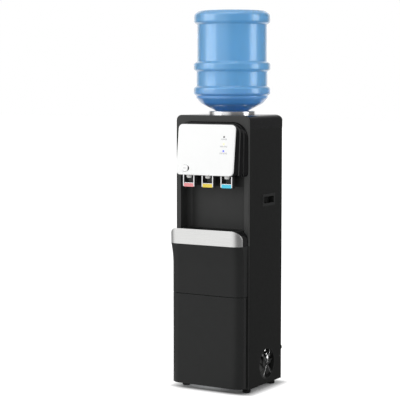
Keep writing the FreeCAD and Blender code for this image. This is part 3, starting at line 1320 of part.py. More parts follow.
def room_tube():
    x, y, z = valve_inlet(1)
    high_z = room_tube_z()
    middle_y = y + 1.6 * TUBE_BEND
    tank_y = BOTTLE_Y - TANK_RADIUS
    return swept_tube([(x, tank_y, high_z), (x, middle_y, high_z), (x, middle_y, z), (x, y, z)],
                      TUBE_RADIUS, TUBE_BEND)


def hot_tube():
    x, y, z = valve_inlet(0)
    top = hot_tank_bottom() + HOT_HEIGHT
    cross = top + HOT_FOAM + 2 * TUBE_BEND
    return swept_tube([(HOT_X, HOT_Y, top), (HOT_X, HOT_Y, cross), (HOT_RISER_X, HOT_RISER_Y, cross),
                       (HOT_RISER_X, HOT_RISER_Y, z), (HOT_RISER_X, y + 3 * TUBE_BEND, z),
                       (x, y + 2 * TUBE_BEND, z), (x, y, z)], TUBE_RADIUS, TUBE_BEND)


def hot_feed_tube():
    """From the underside of the cold tank down into the side of the hot tank."""
    top = SHELF_Z + TANK_BASE_FOAM
    bottom = hot_tank_bottom() + HOT_HEIGHT / 2
    bend_top = hot_tank_bottom() + HOT_HEIGHT + HOT_FOAM + 3 * TUBE_BEND
    tank_x = HOT_X + HOT_RADIUS + HOT_FOAM
    x = tank_x + 2 * TUBE_BEND
    return swept_tube([(0, BOTTLE_Y, top), (0, BOTTLE_Y, bend_top + 3 * TUBE_BEND), (x, HOT_Y, bend_top),
                       (x, HOT_Y, bottom), (tank_x, HOT_Y, bottom)], TUBE_RADIUS, TUBE_BEND)


def drain_tube():
    """From the underside of the hot tank down the back to the drain outlet."""
    low_z = (HOT_SHELF_Z - SHEET + STORE_TOP + STORE_WALL) / 2
    back_y = REAR_Y - STORE_REAR_GAP / 2
    drop_x = DRAIN_X - 2 * TUBE_BEND
    bend_z = DRAIN_Z + 2.5 * TUBE_BEND
    return swept_tube([(HOT_X, HOT_Y, hot_tank_bottom()), (HOT_X, HOT_Y, low_z), (HOT_X, back_y, low_z),
                       (drop_x, back_y, low_z - 1), (drop_x, back_y, bend_z),
                       (DRAIN_X, back_y - TUBE_BEND, DRAIN_Z), (DRAIN_X, REAR_Y - DRAIN_PIPE_INSET, DRAIN_Z)],
                      TUBE_RADIUS, TUBE_BEND * 0.75)


def drain_outlet():
    start = (DRAIN_X, REAR_Y - DRAIN_PIPE_INSET, DRAIN_Z)
    pipe_end = (DRAIN_X, REAR_Y + DRAIN_CAP_LENGTH - DRAIN_CAP_WALL - SEAT_GAP, DRAIN_Z)
    collar_y = REAR_Y - 2 * SHEET
    collar = cylinder(DRAIN_PIPE_RADIUS + DRAIN_COLLAR, (DRAIN_X, collar_y - DRAIN_COLLAR, DRAIN_Z),
                      (DRAIN_X, collar_y, DRAIN_Z))
    pipe = cylinder(DRAIN_PIPE_RADIUS, start, pipe_end)
    return join([pipe, collar]).cut(cylinder(DRAIN_BORE, start, pipe_end))


def drain_cap():
    """Screw cap of the drain, ribbed for the fingers."""
    y0 = REAR_Y + SEAT_GAP
    y1 = REAR_Y + DRAIN_CAP_LENGTH
    cap = cylinder(DRAIN_CAP_RADIUS, (DRAIN_X, y0, DRAIN_Z), (DRAIN_X, y1, DRAIN_Z))
    cap = cap.makeFillet(DRAIN_CAP_EDGE, edges_where(cap, lambda b: b.YMin > y1 - 0.01))
    bore = DRAIN_PIPE_RADIUS + RUNNING_CLEARANCE
    cap = cap.cut(cylinder(bore, (DRAIN_X, y0, DRAIN_Z), (DRAIN_X, y1 - DRAIN_CAP_WALL, DRAIN_Z)))
    groove_reach = DRAIN_CAP_RADIUS + DRAIN_GROOVE / 2
    for index in range(DRAIN_GROOVE_COUNT):
        angle = 2 * math.pi * index / DRAIN_GROOVE_COUNT
        x = DRAIN_X + groove_reach * math.cos(angle)
        z = DRAIN_Z + groove_reach * math.sin(angle)
        cap = cap.cut(cylinder(DRAIN_GROOVE, (x, y0, z), (x, y1, z)))
    return cap


# ---------------------------------------------------------------- cold circuit
def compressor():
    z0 = COMPRESSOR_Z
    z1 = z0 + COMPRESSOR_HEIGHT
    r = COMPRESSOR_RADIUS
    dome = cylinder(r, (COMPRESSOR_X, COMPRESSOR_Y, z0), (COMPRESSOR_X, COMPRESSOR_Y, z1))
    dome = dome.makeFillet(r * 0.55, edges_where(dome, lambda b: b.ZMin > z1 - 0.01))
    dome = dome.makeFillet(r * 0.15, edges_where(dome, lambda b: b.ZMax < z0 + 0.01))
    seam_z = z0 + COMPRESSOR_HEIGHT / 2
    seam = cylinder(r + COMPRESSOR_SEAM, (COMPRESSOR_X, COMPRESSOR_Y, seam_z),
                    (COMPRESSOR_X, COMPRESSOR_Y, seam_z + 2 * COMPRESSOR_SEAM))
    plate = compressor_block(PLATE_HALF_LENGTH, -PLATE_HALF_WIDTH, PLATE_HALF_WIDTH, 0, PLATE_THICKNESS)
    terminal = compressor_block(TERMINAL_HALF_WIDTH, 0, r + TERMINAL_PROUD, TERMINAL_RISE, 2 * TERMINAL_RISE)
    return join([dome, seam, plate, terminal])


def compressor_block(half_width, y0, y1, low, high):
    """Block placed from the compressor's axis and its underside."""
    return box(COMPRESSOR_X - half_width, COMPRESSOR_X + half_width, COMPRESSOR_Y + y0, COMPRESSOR_Y + y1,
               COMPRESSOR_Z + low, COMPRESSOR_Z + high)


def compressor_mounts():
    mounts = []
    z0 = FOOT_HEIGHT + PAN_SHEET
    for side in (-1, 1):
        x = COMPRESSOR_X + side * (PLATE_HALF_LENGTH - MOUNT_INSET)
        for end in (-1, 1):
            y = COMPRESSOR_Y + end * (PLATE_HALF_WIDTH - MOUNT_INSET)
            mounts.append(cylinder(MOUNT_RADIUS, (x, y, z0), (x, y, COMPRESSOR_Z)))
    return Part.makeCompound(mounts)


def condenser_z(run):
    return CONDENSER_BOTTOM + run * CONDENSER_PITCH


def condenser_tube():
    """Serpentine of level runs that are joined by half loops."""
    y = REAR_Y + CONDENSER_STANDOFF + CONDENSER_TUBE_RADIUS
    points = []
    for run in range(CONDENSER_RUNS):
        ends = [-CONDENSER_HALF_WIDTH, CONDENSER_HALF_WIDTH]
        if run % 2:
            ends.reverse()
        points += [(x, y, condenser_z(run)) for x in ends]
    return swept_tube(points, CONDENSER_TUBE_RADIUS, CONDENSER_PITCH * 0.42)


def condenser_wires():
    y = REAR_Y + CONDENSER_STANDOFF + 2 * CONDENSER_TUBE_RADIUS
    z0 = condenser_z(0) - CONDENSER_WIRE_OVERHANG
    z1 = condenser_z(CONDENSER_RUNS - 1) + CONDENSER_WIRE_OVERHANG
    reach = CONDENSER_HALF_WIDTH - CONDENSER_PITCH / 2
    pitch = 2 * reach / (CONDENSER_WIRE_COUNT - 1)
    half = CONDENSER_WIRE / 2
    wires = []
    for index in range(CONDENSER_WIRE_COUNT):
        x = -reach + index * pitch
        wires.append(box(x - half, x + half, y, y + CONDENSER_WIRE, z0, z1))
    return Part.makeCompound(wires)


def condenser_brackets():
    brackets = []
    y0 = REAR_Y - SHEET
    y1 = REAR_Y + CONDENSER_STANDOFF
    for side in (-1, 1):
        x0 = side * (CONDENSER_HALF_WIDTH - BRACKET_INSET) - BRACKET_WIDTH / 2
        for run in (1, CONDENSER_RUNS - 2):
            z0 = condenser_z(run) - BRACKET_HEIGHT / 2
            brackets.append(box(x0, x0 + BRACKET_WIDTH, y0, y1, z0, z0 + BRACKET_HEIGHT))
    return Part.makeCompound(brackets)


def discharge_tube():
    """Copper tube from the compressor to the foot of the condenser."""
    y = REAR_Y + CONDENSER_STANDOFF + CONDENSER_TUBE_RADIUS
    offset = TERMINAL_HALF_WIDTH + 2 * DISCHARGE_BEND
    x = COMPRESSOR_X - offset
    z0 = COMPRESSOR_Z + DISCHARGE_RISE
    near_edge = offset - CONDENSER_TUBE_RADIUS
    start = (x, COMPRESSOR_Y + math.sqrt(COMPRESSOR_RADIUS ** 2 - near_edge ** 2), z0)
    outer_x = -CONDENSER_HALF_WIDTH - 2 * DISCHARGE_BEND
    bay_z = BAY_TOP - 3 * DISCHARGE_BEND
    behind = REAR_Y - DISCHARGE_BEND
    return swept_tube([start, (x, behind - 2 * DISCHARGE_BEND, z0), (x - 6 * DISCHARGE_BEND, behind, bay_z),
                       (outer_x, y, bay_z + DISCHARGE_BEND), (outer_x, y, condenser_z(0)),
                       (-CONDENSER_HALF_WIDTH, y, condenser_z(0))], CONDENSER_TUBE_RADIUS, DISCHARGE_BEND)


def suction_tube():
    """Copper tube from the evaporator down to the compressor."""
    z_top = SHELF_Z + TANK_BASE_FOAM + SLEEVE_RISE + SUCTION_BEND
    z_low = COMPRESSOR_Z + SUCTION_RISE
    tank_y = BOTTLE_Y + FOAM_HALF / 3
    shell_x = COMPRESSOR_X + COMPRESSOR_RADIUS
    return swept_tube([(FOAM_HALF, tank_y, z_top), (SUCTION_X, tank_y, z_top),
                       (SUCTION_X, SUCTION_Y, z_top - 3 * SUCTION_BEND),
                       (SUCTION_X, SUCTION_Y, z_low + 2 * SUCTION_BEND),
                       (SUCTION_X - 3 * SUCTION_BEND, SUCTION_Y - SUCTION_BEND, z_low),
                       (shell_x + 2 * SUCTION_BEND, COMPRESSOR_Y, z_low), (shell_x, COMPRESSOR_Y, z_low)],
                      COPPER_RADIUS, SUCTION_BEND)


# ---------------------------------------------------------------- fan
def fan_frame():
    x1 = INNER_X
    x0 = x1 - FAN_DEPTH
    corners = [(x0, VENT_Y - FAN_HALF, VENT_Z - FAN_HALF), (x0, VENT_Y + FAN_HALF, VENT_Z - FAN_HALF),
               (x0, VENT_Y + FAN_HALF, VENT_Z + FAN_HALF), (x0, VENT_Y - FAN_HALF, VENT_Z + FAN_HALF)]
    body = Part.Face(rounded_wire(corners, [FAN_CORNER] * 4)).extrude(Vector(FAN_DEPTH, 0, 0))
    body = body.cut(cylinder(FAN_BORE, (x0, VENT_Y, VENT_Z), (x1, VENT_Y, VENT_Z)))
    motor = cylinder(FAN_HUB_RADIUS, (x0, VENT_Y, VENT_Z), (x0 + FAN_MOTOR, VENT_Y, VENT_Z))
    shaft_end = x0 + FAN_MOTOR + FAN_SHAFT_LENGTH
    shaft = cylinder(FAN_SHAFT_RADIUS, (x0, VENT_Y, VENT_Z), (shaft_end, VENT_Y, VENT_Z))
    reach = (FAN_BORE + FAN_HALF) / 2
    half = FAN_ARM / 2
    arms = []
    for angle in (45, 135):
        arm = box(x0, x0 + FAN_ARM_DEPTH, VENT_Y - reach, VENT_Y + reach, VENT_Z - half, VENT_Z + half)
        arm.rotate(Vector(x0, VENT_Y, VENT_Z), Vector(1, 0, 0), angle)
        arms.append(arm)
    return join([body, motor, shaft] + arms)


def fan_rotor():
    x0 = INNER_X - FAN_DEPTH + FAN_MOTOR + FAN_HUB_GAP
    x1 = INNER_X - FAN_FRONT_GAP
    hub = cylinder(FAN_HUB_RADIUS, (x0, VENT_Y, VENT_Z), (x1, VENT_Y, VENT_Z))
    hub = hub.makeFillet(FAN_HUB_EDGE, edges_where(hub, lambda b: b.XMin > x1 - 0.01))
    middle = (x0 + x1) / 2
    centre = Vector(middle, VENT_Y, VENT_Z)
    tip = FAN_BORE - FAN_TIP_GAP
    half = FAN_BLADE_THICKNESS / 2
    root = FAN_HUB_RADIUS - FAN_BLADE_THICKNESS
    blades = []
    for index in range(FAN_BLADES):
        blade = box(middle - half, middle + half, VENT_Y + root, VENT_Y + tip, VENT_Z - FAN_CHORD / 2,
                    VENT_Z + FAN_CHORD / 2)
        blade.rotate(centre, Vector(0, 1, 0), FAN_BLADE_PITCH)
        blade = blade.common(cylinder(tip, (x0, VENT_Y, VENT_Z), (x1, VENT_Y, VENT_Z)))
        blade.rotate(centre, Vector(1, 0, 0), index * 360 / FAN_BLADES)
        blades.append(blade)
    bore_end = INNER_X - FAN_DEPTH + FAN_MOTOR + FAN_SHAFT_LENGTH + FAN_HUB_GAP
    bore = cylinder(FAN_SHAFT_RADIUS + RUNNING_CLEARANCE, (x0, VENT_Y, VENT_Z), (bore_end, VENT_Y, VENT_Z))
    return join([hub] + blades).cut(bore)


def vent_guard():
    """Ring with two crossed bars that closes the vent."""
    x0 = INNER_X
    x1 = HALF_WIDTH - GUARD_SINK
    radius = VENT_RADIUS - SEAT_GAP
    ring = tube_between(radius, radius - VENT_RING, (x0, VENT_Y, VENT_Z), (x1, VENT_Y, VENT_Z))
    reach = radius - VENT_RING / 2
    half = VENT_BAR / 2
    bars = []
    for angle in (45, 135):
        bar = box(x0, x1, VENT_Y - reach, VENT_Y + reach, VENT_Z - half, VENT_Z + half)
        bar.rotate(Vector(x0, VENT_Y, VENT_Z), Vector(1, 0, 0), angle)
        bars.append(bar)
    return join([ring] + bars)


def guard_screw():
    """Bright screw at the upper front end of the guard's bars."""
    reach = (VENT_RADIUS - VENT_RING - 1.5 * SCREW_HEAD_RADIUS) / math.sqrt(2)
    y = VENT_Y - reach
    z = VENT_Z + reach
    x0 = HALF_WIDTH - GUARD_SINK
    x1 = x0 + GUARD_SCREW_HEIGHT
    head = cylinder(SCREW_HEAD_RADIUS, (x0, y, z), (x1, y, z))
    half = SCREW_SLOT / 2
    slot = box((x0 + x1) / 2, x1, y - SCREW_HEAD_RADIUS, y + SCREW_HEAD_RADIUS, z - half, z + half)
    return head.cut(slot)


# ---------------------------------------------------------------- rear fittings
def switch_housing():
    half = SWITCH_SPACING / 2 + SWITCH_WIDTH / 2 + SWITCH_MARGIN
    rise = SWITCH_HEIGHT / 2 + SWITCH_MARGIN
    y0 = REAR_Y - SHEET
    y1 = REAR_Y + SWITCH_HOUSING_PROUD
    block = box(SWITCH_X - half, SWITCH_X + half, y0, y1, SWITCH_Z - rise, SWITCH_Z + rise)
    reach = SWITCH_WIDTH / 2 + SWITCH_SIDE_GAP
    well = SWITCH_HEIGHT / 2 + 2 * SWITCH_SIDE_GAP
    for x in switch_xs():
        block = block.cut(box(x - reach, x + reach, y0 + 1, y1, SWITCH_Z - well, SWITCH_Z + well))
        block = block.cut(rocker_stub(x, STUB_RADIUS + RUNNING_CLEARANCE, STUB_LENGTH + SWITCH_SIDE_GAP))
    return block


def switch_xs():
    return SWITCH_X - SWITCH_SPACING / 2, SWITCH_X + SWITCH_SPACING / 2


def rocker(x):
    """Two-position rocker, tipped to its upper side at rest; it swings about a level axis."""
    x0 = x - SWITCH_WIDTH / 2
    y0 = ROCKER_Y
    half = SWITCH_HEIGHT / 2
    points = [(x0, y0, SWITCH_Z - ROCKER_FLAT), (x0, y0 + ROCKER_HEEL, SWITCH_Z - half),
              (x0, y0 + ROCKER_TIP, SWITCH_Z - half), (x0, y0 + ROCKER_DIP, SWITCH_Z),
              (x0, y0 + ROCKER_TIP, SWITCH_Z + half), (x0, y0 + ROCKER_HEEL, SWITCH_Z + half),
              (x0, y0, SWITCH_Z + ROCKER_FLAT)]
    face = Part.Face(rounded_wire(points, [0, 0.5, 0.8, 8.0, 0.8, 0.5, 0]))
    body = face.extrude(Vector(SWITCH_WIDTH, 0, 0))
    body.rotate(Vector(x, ROCKER_PIVOT_Y, SWITCH_Z), Vector(1, 0, 0), -SWITCH_SWING)
    return join([body, rocker_stub(x, STUB_RADIUS, STUB_LENGTH)])


def rocker_stub(x, radius, overhang):
    """Round pivot across a rocker, which stands out of both its sides."""
    reach = SWITCH_WIDTH / 2 + overhang
    return cylinder(radius, (x - reach, ROCKER_PIVOT_Y, SWITCH_Z), (x + reach, ROCKER_PIVOT_Y, SWITCH_Z))


def power_inlet():
    """Bush that the supply lead passes through."""
    sheet_y = REAR_Y - SHEET
    start = (INLET_X, sheet_y - SHEET - INLET_INNER_LENGTH, INLET_Z)
    end = (INLET_X, sheet_y + INLET_OUTER_LENGTH, INLET_Z)
    flange = cylinder(INLET_RADIUS, (INLET_X, sheet_y, INLET_Z), (INLET_X, sheet_y + INLET_FLANGE, INLET_Z))
    sleeve = cylinder(INLET_SLEEVE_RADIUS, start, end)
    return join([flange, sleeve]).cut(cylinder(INLET_BORE, start, end))


def rear_screws():
    screws = []
    low = FOOT_HEIGHT + SCREW_END_GAP
    high = COVER_BOTTOM - SCREW_END_GAP
    for x in (-HALF_WIDTH + FLANGE / 2, HALF_WIDTH - FLANGE / 2):
        for row in range(SCREW_ROWS):
            z = low + (high - low) * row / (SCREW_ROWS - 1)
            screws.append(cylinder(SCREW_HEAD_RADIUS, (x, REAR_Y, z), (x, REAR_Y + SCREW_HEAD_HEIGHT, z)))
    return Part.makeCompound(screws)


# ---------------------------------------------------------------- all pieces
def cabinet_nodes():
    return {
        "base_pan": base_pan(),
        "levelling_feet": levelling_feet(),
        "left_side_panel": side_panel(-1),
        "right_side_panel": right_side_panel(),
        "side_grips": Part.makeCompound([side_grip(-1), side_grip(1)]),
        "rear_panel": rear_panel(),
        "top_cover": top_cover(),
        "front_bezel": front_bezel(),
        "niche_liner": niche_liner(),
        "lower_frame": lower_frame(),
        "upper_front_panel": upper_front_panel(),
        "tray_trim": tray_trim(),
        "tray_housing": tray_housing(),
        "drip_tray": drip_tray(),
        "drip_grille": drip_grille(),
        "storage_box": storage_box(),
        "door_skin": door_skin(),
        "door_liner": Part.makeCompound([door_liner(), door_magnet()]),
        "door_hinge": Part.makeCompound([hinge_bracket(), hinge_pins()]),
        "cabinet_screws": Part.makeCompound([rear_screws(), guard_screw()]),
    }


def head_nodes():
    nodes = {
        "head_shell": head_shell(),
        "control_panel": control_panel(),
        "child_lock_button": child_lock_button(),
        "tap_bracket": Part.makeCompound([head_back_plate(), lever_pins()]),
        "tap_block": tap_block(),
        "tap_nozzles": Part.makeCompound([tap_nozzle(x) for x in TAP_XS]),
        "tap_valves": Part.makeCompound([tap_valve(x) for x in TAP_XS]),
    }
    for name, z in zip(LAMP_NAMES, LAMP_HEIGHTS):
        nodes[name] = lamp(z)
    for name, x in zip(TAP_NAMES, TAP_XS):
        nodes[name + "_lever_frame"] = lever_frame(x)
        nodes[name + "_lever_pad"] = lever_pad(x)
        nodes[name + "_lever_label"] = lever_label(x)
    return nodes


def water_nodes():
    return {
        "water_bottle": water_bottle(),
        "bottle_cap": bottle_cap(),
        "bottle_collar": bottle_collar(),
        "bottle_seat": bottle_seat(),
        "feed_probe": Part.makeCompound([feed_probe(), separator_baffle()]),
        "tank_shelves": Part.makeCompound([tank_shelf(), hot_shelf()]),
        "tank_insulation": Part.makeCompound([tank_insulation(), tank_lid(), hot_tank_jacket()]),
        "cold_tank": Part.makeCompound([cold_tank(), evaporator_sleeve()]),
        "hot_tank": Part.makeCompound([hot_tank(), heater_band()]),
        "water_tubes": Part.makeCompound([cold_tube(), room_tube(), hot_tube(), hot_feed_tube(),
                                          drain_tube()]),
        "drain_cap": drain_cap(),
    }


def machine_nodes():
    return {
        "compressor": Part.makeCompound([compressor(), compressor_mounts()]),
        "condenser_tube": condenser_tube(),
        "condenser_grid": Part.makeCompound([condenser_wires(), condenser_brackets()]),
        "refrigerant_tubes": Part.makeCompound([discharge_tube(), suction_tube()]),
        "fan_frame": fan_frame(),
        "fan_rotor": fan_rotor(),
        "vent_guard": vent_guard(),
        "rear_fittings": Part.makeCompound([switch_housing(), power_inlet(), drain_outlet()]),
        "heat_switch": rocker(switch_xs()[0]),
        "cool_switch": rocker(switch_xs()[1]),
    }


os.makedirs("parts", exist_ok=True)
for group in (cabinet_nodes(), head_nodes(), water_nodes(), machine_nodes()):
    for name, shape in group.items():
        shape.exportStep("parts/" + name + ".step")
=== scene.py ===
"""Looks of the top-load water cooler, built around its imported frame."""
import math

import bmesh
import bpy
from mathutils import Matrix, Vector


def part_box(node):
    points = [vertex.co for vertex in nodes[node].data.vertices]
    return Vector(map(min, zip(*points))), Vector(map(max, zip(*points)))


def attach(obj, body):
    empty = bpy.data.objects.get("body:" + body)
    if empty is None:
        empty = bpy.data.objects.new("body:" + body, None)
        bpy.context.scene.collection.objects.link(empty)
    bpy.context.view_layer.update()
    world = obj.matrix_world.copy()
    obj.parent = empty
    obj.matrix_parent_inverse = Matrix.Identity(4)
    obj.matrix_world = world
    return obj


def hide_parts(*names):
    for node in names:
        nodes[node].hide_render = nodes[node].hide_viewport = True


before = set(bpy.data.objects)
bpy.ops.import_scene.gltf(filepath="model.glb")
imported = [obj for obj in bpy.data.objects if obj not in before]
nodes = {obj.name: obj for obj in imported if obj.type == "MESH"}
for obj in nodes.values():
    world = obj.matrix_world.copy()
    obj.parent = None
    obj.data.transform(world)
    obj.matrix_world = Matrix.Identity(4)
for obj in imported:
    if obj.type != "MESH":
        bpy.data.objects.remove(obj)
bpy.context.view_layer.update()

MM = 0.001                                     # lengths below are in millimetres unless they say metres
FRONT_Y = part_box("front_bezel")[0].y / MM      # front plane of the cabinet
BOTTLE_LOW, BOTTLE_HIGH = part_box("water_bottle")
BOTTLE_Y = (BOTTLE_LOW.y + BOTTLE_HIGH.y) / 2 / MM
BOTTLE_TOP = BOTTLE_HIGH.z / MM
NECK_END = BOTTLE_LOW.z / MM


# ---------------------------------------------------------------- materials
CONE_DEEP_BLUE = 1030.0           # the bottle is a deeper blue and lets less light through below this height
BODY_CLEAR = 1085.0            # and its full share above this one
BEVEL_SAMPLES = 4


class Shader:
    """One procedural material: a principled shader and short calls for the nodes that feed it."""

    def __init__(self, name, **values):
        self.material = bpy.data.materials.new(name)
        self.material.use_nodes = True
        self.tree = self.material.node_tree
        self.tree.nodes.clear()
        self.output = self.node("ShaderNodeOutputMaterial")
        self.bsdf = self.node("ShaderNodeBsdfPrincipled")
        self.place = self.node("ShaderNodeTexCoord").outputs["Object"]
        self.join(self.bsdf.outputs["BSDF"], self.output.inputs["Surface"])
        for socket, value in values.items():
            self.bsdf.inputs[socket.replace("_", " ")].default_value = value

    def node(self, kind, **settings):
        node = self.tree.nodes.new(kind)
        for name, value in settings.items():
            setattr(node, name, value)
        return node

    def join(self, start, end):
        self.tree.links.new(start, end)

    def stretched(self, stretch):
        """Object coordinates in millimetres, stretched so that a pattern gets longer along an axis."""
        mapping = self.node("ShaderNodeMapping")
        mapping.inputs["Scale"].default_value = [1 / (MM * length) for length in stretch]
        self.join(self.place, mapping.inputs["Vector"])
        return mapping.outputs["Vector"]

    def noise(self, size, detail=3.0, stretch=(1, 1, 1)):
        """Noise whose features are about size millimetres wide."""
        node = self.node("ShaderNodeTexNoise")
        node.inputs["Scale"].default_value = 1 / size
        node.inputs["Detail"].default_value = detail
        self.join(self.stretched(stretch), node.inputs["Vector"])
        return node.outputs["Fac"]

    def cells(self, size):
        """Cells about size millimetres wide; returns the node, for its distance and colour."""
        node = self.node("ShaderNodeTexVoronoi")
        node.inputs["Scale"].default_value = 1 / size
        self.join(self.stretched((1, 1, 1)), node.inputs["Vector"])
        return node

    def spread(self, source, low, high, start=0.3, end=0.7):
        """The source's range from start to end brought to the range from low to high."""
        node = self.node("ShaderNodeMapRange")
        node.inputs["From Min"].default_value = start
        node.inputs["From Max"].default_value = end
        node.inputs["To Min"].default_value = low
        node.inputs["To Max"].default_value = high
        self.join(source, node.inputs["Value"])
        return node.outputs["Result"]

    def blend(self, share, first, second):
        """Colour mix; a colour may be three numbers or a socket."""
        node = self.node("ShaderNodeMix", data_type="RGBA")
        self.join(share, node.inputs["Factor"])
        for value, socket in ((first, node.inputs[6]), (second, node.inputs[7])):
            if isinstance(value, bpy.types.NodeSocket):
                self.join(value, socket)
            else:
                socket.default_value = (*value, 1)
        return node.outputs[2]

    def rounded(self, radius):
        """Surface normal with its edges rounded by radius millimetres."""
        node = self.node("ShaderNodeBevel", samples=BEVEL_SAMPLES)
        node.inputs["Radius"].default_value = radius * MM
        return node.outputs["Normal"]

    def edges(self, radius):
        """1 along the edges of a solid and 0 on its faces."""
        dot = self.node("ShaderNodeVectorMath", operation="DOT_PRODUCT")
        self.join(self.rounded(radius), dot.inputs[0])
        self.join(self.node("ShaderNodeNewGeometry").outputs["Normal"], dot.inputs[1])
        return self.spread(dot.outputs["Value"], 1, 0, 0.8, 0.995)

    def bump(self, height, depth, normal=None):
        """Relief of depth millimetres from the height socket, on top of the normal."""
        node = self.node("ShaderNodeBump")
        node.inputs["Strength"].default_value = 1
        node.inputs["Distance"].default_value = depth * MM
        self.join(height, node.inputs["Height"])
        if normal is not None:
            self.join(normal, node.inputs["Normal"])
        self.join(node.outputs["Normal"], self.bsdf.inputs["Normal"])

    def colour(self, source):
        self.join(source, self.bsdf.inputs["Base Color"])

    def roughness(self, source):
        self.join(source, self.bsdf.inputs["Roughness"])


def scaled(colour, factor):
    return tuple(min(1.0, channel * factor) for channel in colour)


def moulded(name, colour, roughness, specular, grain=0.5, depth=0.01, wear=0.25, radius=0.6, coat=0.0,
            mottle=0.07):
    """Moulded plastic or paint: faint mottling, uneven gloss, a fine grain and lighter rubbed edges."""
    shader = Shader(name, Specular_IOR_Level=specular, Coat_Weight=coat, Coat_Roughness=0.08)
    mottled = shader.blend(shader.noise(38), scaled(colour, 1 - mottle), scaled(colour, 1 + mottle))
    worn = tuple(channel + wear * (0.22 - 0.2 * channel) for channel in colour)
    rubbed = shader.blend(shader.noise(7, 5), mottled, worn)
    shader.colour(shader.blend(shader.edges(radius), mottled, rubbed))
    shader.roughness(shader.spread(shader.noise(14, 4), roughness - 0.035, roughness + 0.035))
    shader.bump(shader.noise(grain, 2), depth, shader.rounded(radius))
    return shader.material


def brushed(name, colour, roughness, stretch):
    """Brushed metal: long scratches along the stretched axis in colour, gloss and relief."""
    shader = Shader(name, Metallic=1.0, Anisotropic=0.4)
    streaks = shader.noise(1, 4, stretch)
    shader.colour(shader.blend(shader.spread(streaks, 0, 1), scaled(colour, 0.9), scaled(colour, 1.06)))
    shader.roughness(shader.spread(streaks, roughness - 0.06, roughness + 0.08))
    shader.bump(streaks, 0.012, shader.rounded(0.5))
    return shader.material


def chrome(name):
    """Plated metal with a faint haze."""
    shader = Shader(name, Metallic=1.0)
    haze = shader.noise(9, 5)
    shader.colour(shader.blend(haze, (0.80, 0.80, 0.81), (0.88, 0.88, 0.88)))
    shader.roughness(shader.spread(haze, 0.12, 0.22))
    shader.bump(shader.noise(2.5, 2), 0.003, shader.rounded(0.7))
    return shader.material


def galvanised(name):
    """Zinc-coated sheet with its spangle."""
    shader = Shader(name, Metallic=1.0)
    spangle = shader.cells(7)
    shade = shader.node("ShaderNodeSeparateColor")
    shader.join(spangle.outputs["Color"], shade.inputs["Color"])
    shader.colour(shader.blend(shade.outputs["Red"], (0.42, 0.43, 0.44), (0.62, 0.63, 0.64)))
    shader.roughness(shader.spread(shade.outputs["Green"], 0.32, 0.5, 0, 1))
    shader.bump(spangle.outputs["Distance"], 0.02, shader.rounded(0.4))
    return shader.material


def bead_foam(name):
    """Expanded foam with its round beads."""
    shader = Shader(name, Specular_IOR_Level=0.2)
    beads = shader.cells(3.2)
    shader.colour(shader.blend(shader.spread(beads.outputs["Distance"], 0, 1, 0.1, 0.8),
                               (0.88, 0.88, 0.86), (0.7, 0.7, 0.68)))
    shader.roughness(shader.spread(shader.noise(5), 0.78, 0.92))
    shader.bump(beads.outputs["Distance"], -0.35)
    return shader.material


def copper_pipe(name):
    """Copper with brown tarnish in patches."""
    shader = Shader(name, Metallic=1.0)
    tarnish = shader.noise(16, 6)
    shader.colour(shader.blend(shader.spread(tarnish, 0, 1), (0.72, 0.34, 0.19), (0.42, 0.2, 0.12)))
    shader.roughness(shader.spread(tarnish, 0.2, 0.42))
    shader.bump(shader.noise(1.5, 3), 0.01)
    return shader.material


def lens(name, colour, glow):
    """Coloured lens with a thin clear coat; it may be lit from inside."""
    shader = Shader(name, Roughness=0.12, Emission_Strength=glow, Coat_Weight=0.5, Coat_Roughness=0.03)
    core = shader.noise(1.2, 2)
    shader.colour(shader.blend(core, scaled(colour, 0.85), scaled(colour, 1.1)))
    lit = shader.blend(core, scaled(colour, 0.9), scaled(colour, 1.15))
    shader.join(lit, shader.bsdf.inputs["Emission Color"])
    shader.bump(shader.noise(0.7, 1), 0.01)
    return shader.material


def clear_tube(name):
    """Milky flexible tube."""
    shader = Shader(name, Transmission_Weight=0.55, IOR=1.41)
    haze = shader.noise(12, 3)
    shader.colour(shader.blend(haze, (0.78, 0.78, 0.76), (0.88, 0.88, 0.86)))
    shader.roughness(shader.spread(haze, 0.28, 0.4))
    shader.bump(shader.noise(1.0, 2), 0.008)
    return shader.material


def polycarbonate(name):
    """Blue blow-moulded bottle: a deeper blue, less see-through cone, a lighter, clearer body, handling
    scuffs and an uneven wall.
    """
    shader = Shader(name, IOR=1.5, Coat_Weight=1.0, Coat_Roughness=0.32, Coat_IOR=1.6)
    apart = shader.node("ShaderNodeSeparateXYZ")
    shader.join(shader.place, apart.inputs["Vector"])
    body = shader.spread(apart.outputs["Z"], 0, 1, CONE_DEEP_BLUE * MM, BODY_CLEAR * MM)
    shader.join(shader.spread(body, 0.35, 0.72, 0, 1), shader.bsdf.inputs["Transmission Weight"])
    wall = shader.noise(45, 3, (1, 1, 3))
    scuffs = shader.noise(5, 8, (1, 1, 0.4))
    tint = shader.blend(wall, (0.24, 0.64, 0.98), (0.29, 0.68, 0.98))
    tint = shader.blend(body, (0.12, 0.45, 0.98), tint)
    shader.colour(shader.blend(shader.spread(scuffs, 0, 0.2, 0.6, 0.8), tint, (0.5, 0.7, 0.9)))
    shader.roughness(shader.spread(scuffs, 0.12, 0.24, 0.4, 0.75))
    shader.bump(wall, 0.35)
    return shader.material


def printed(name, colour):
    """Pad-printed ink: thin, matt and slightly uneven."""
    shader = Shader(name, Specular_IOR_Level=0.2)
    grain = shader.noise(0.5, 3)
    shader.colour(shader.blend(grain, scaled(colour, 0.85), scaled(colour, 1.2)))
    shader.roughness(shader.spread(grain, 0.5, 0.65))
    shader.bump(grain, 0.004)
    return shader.material


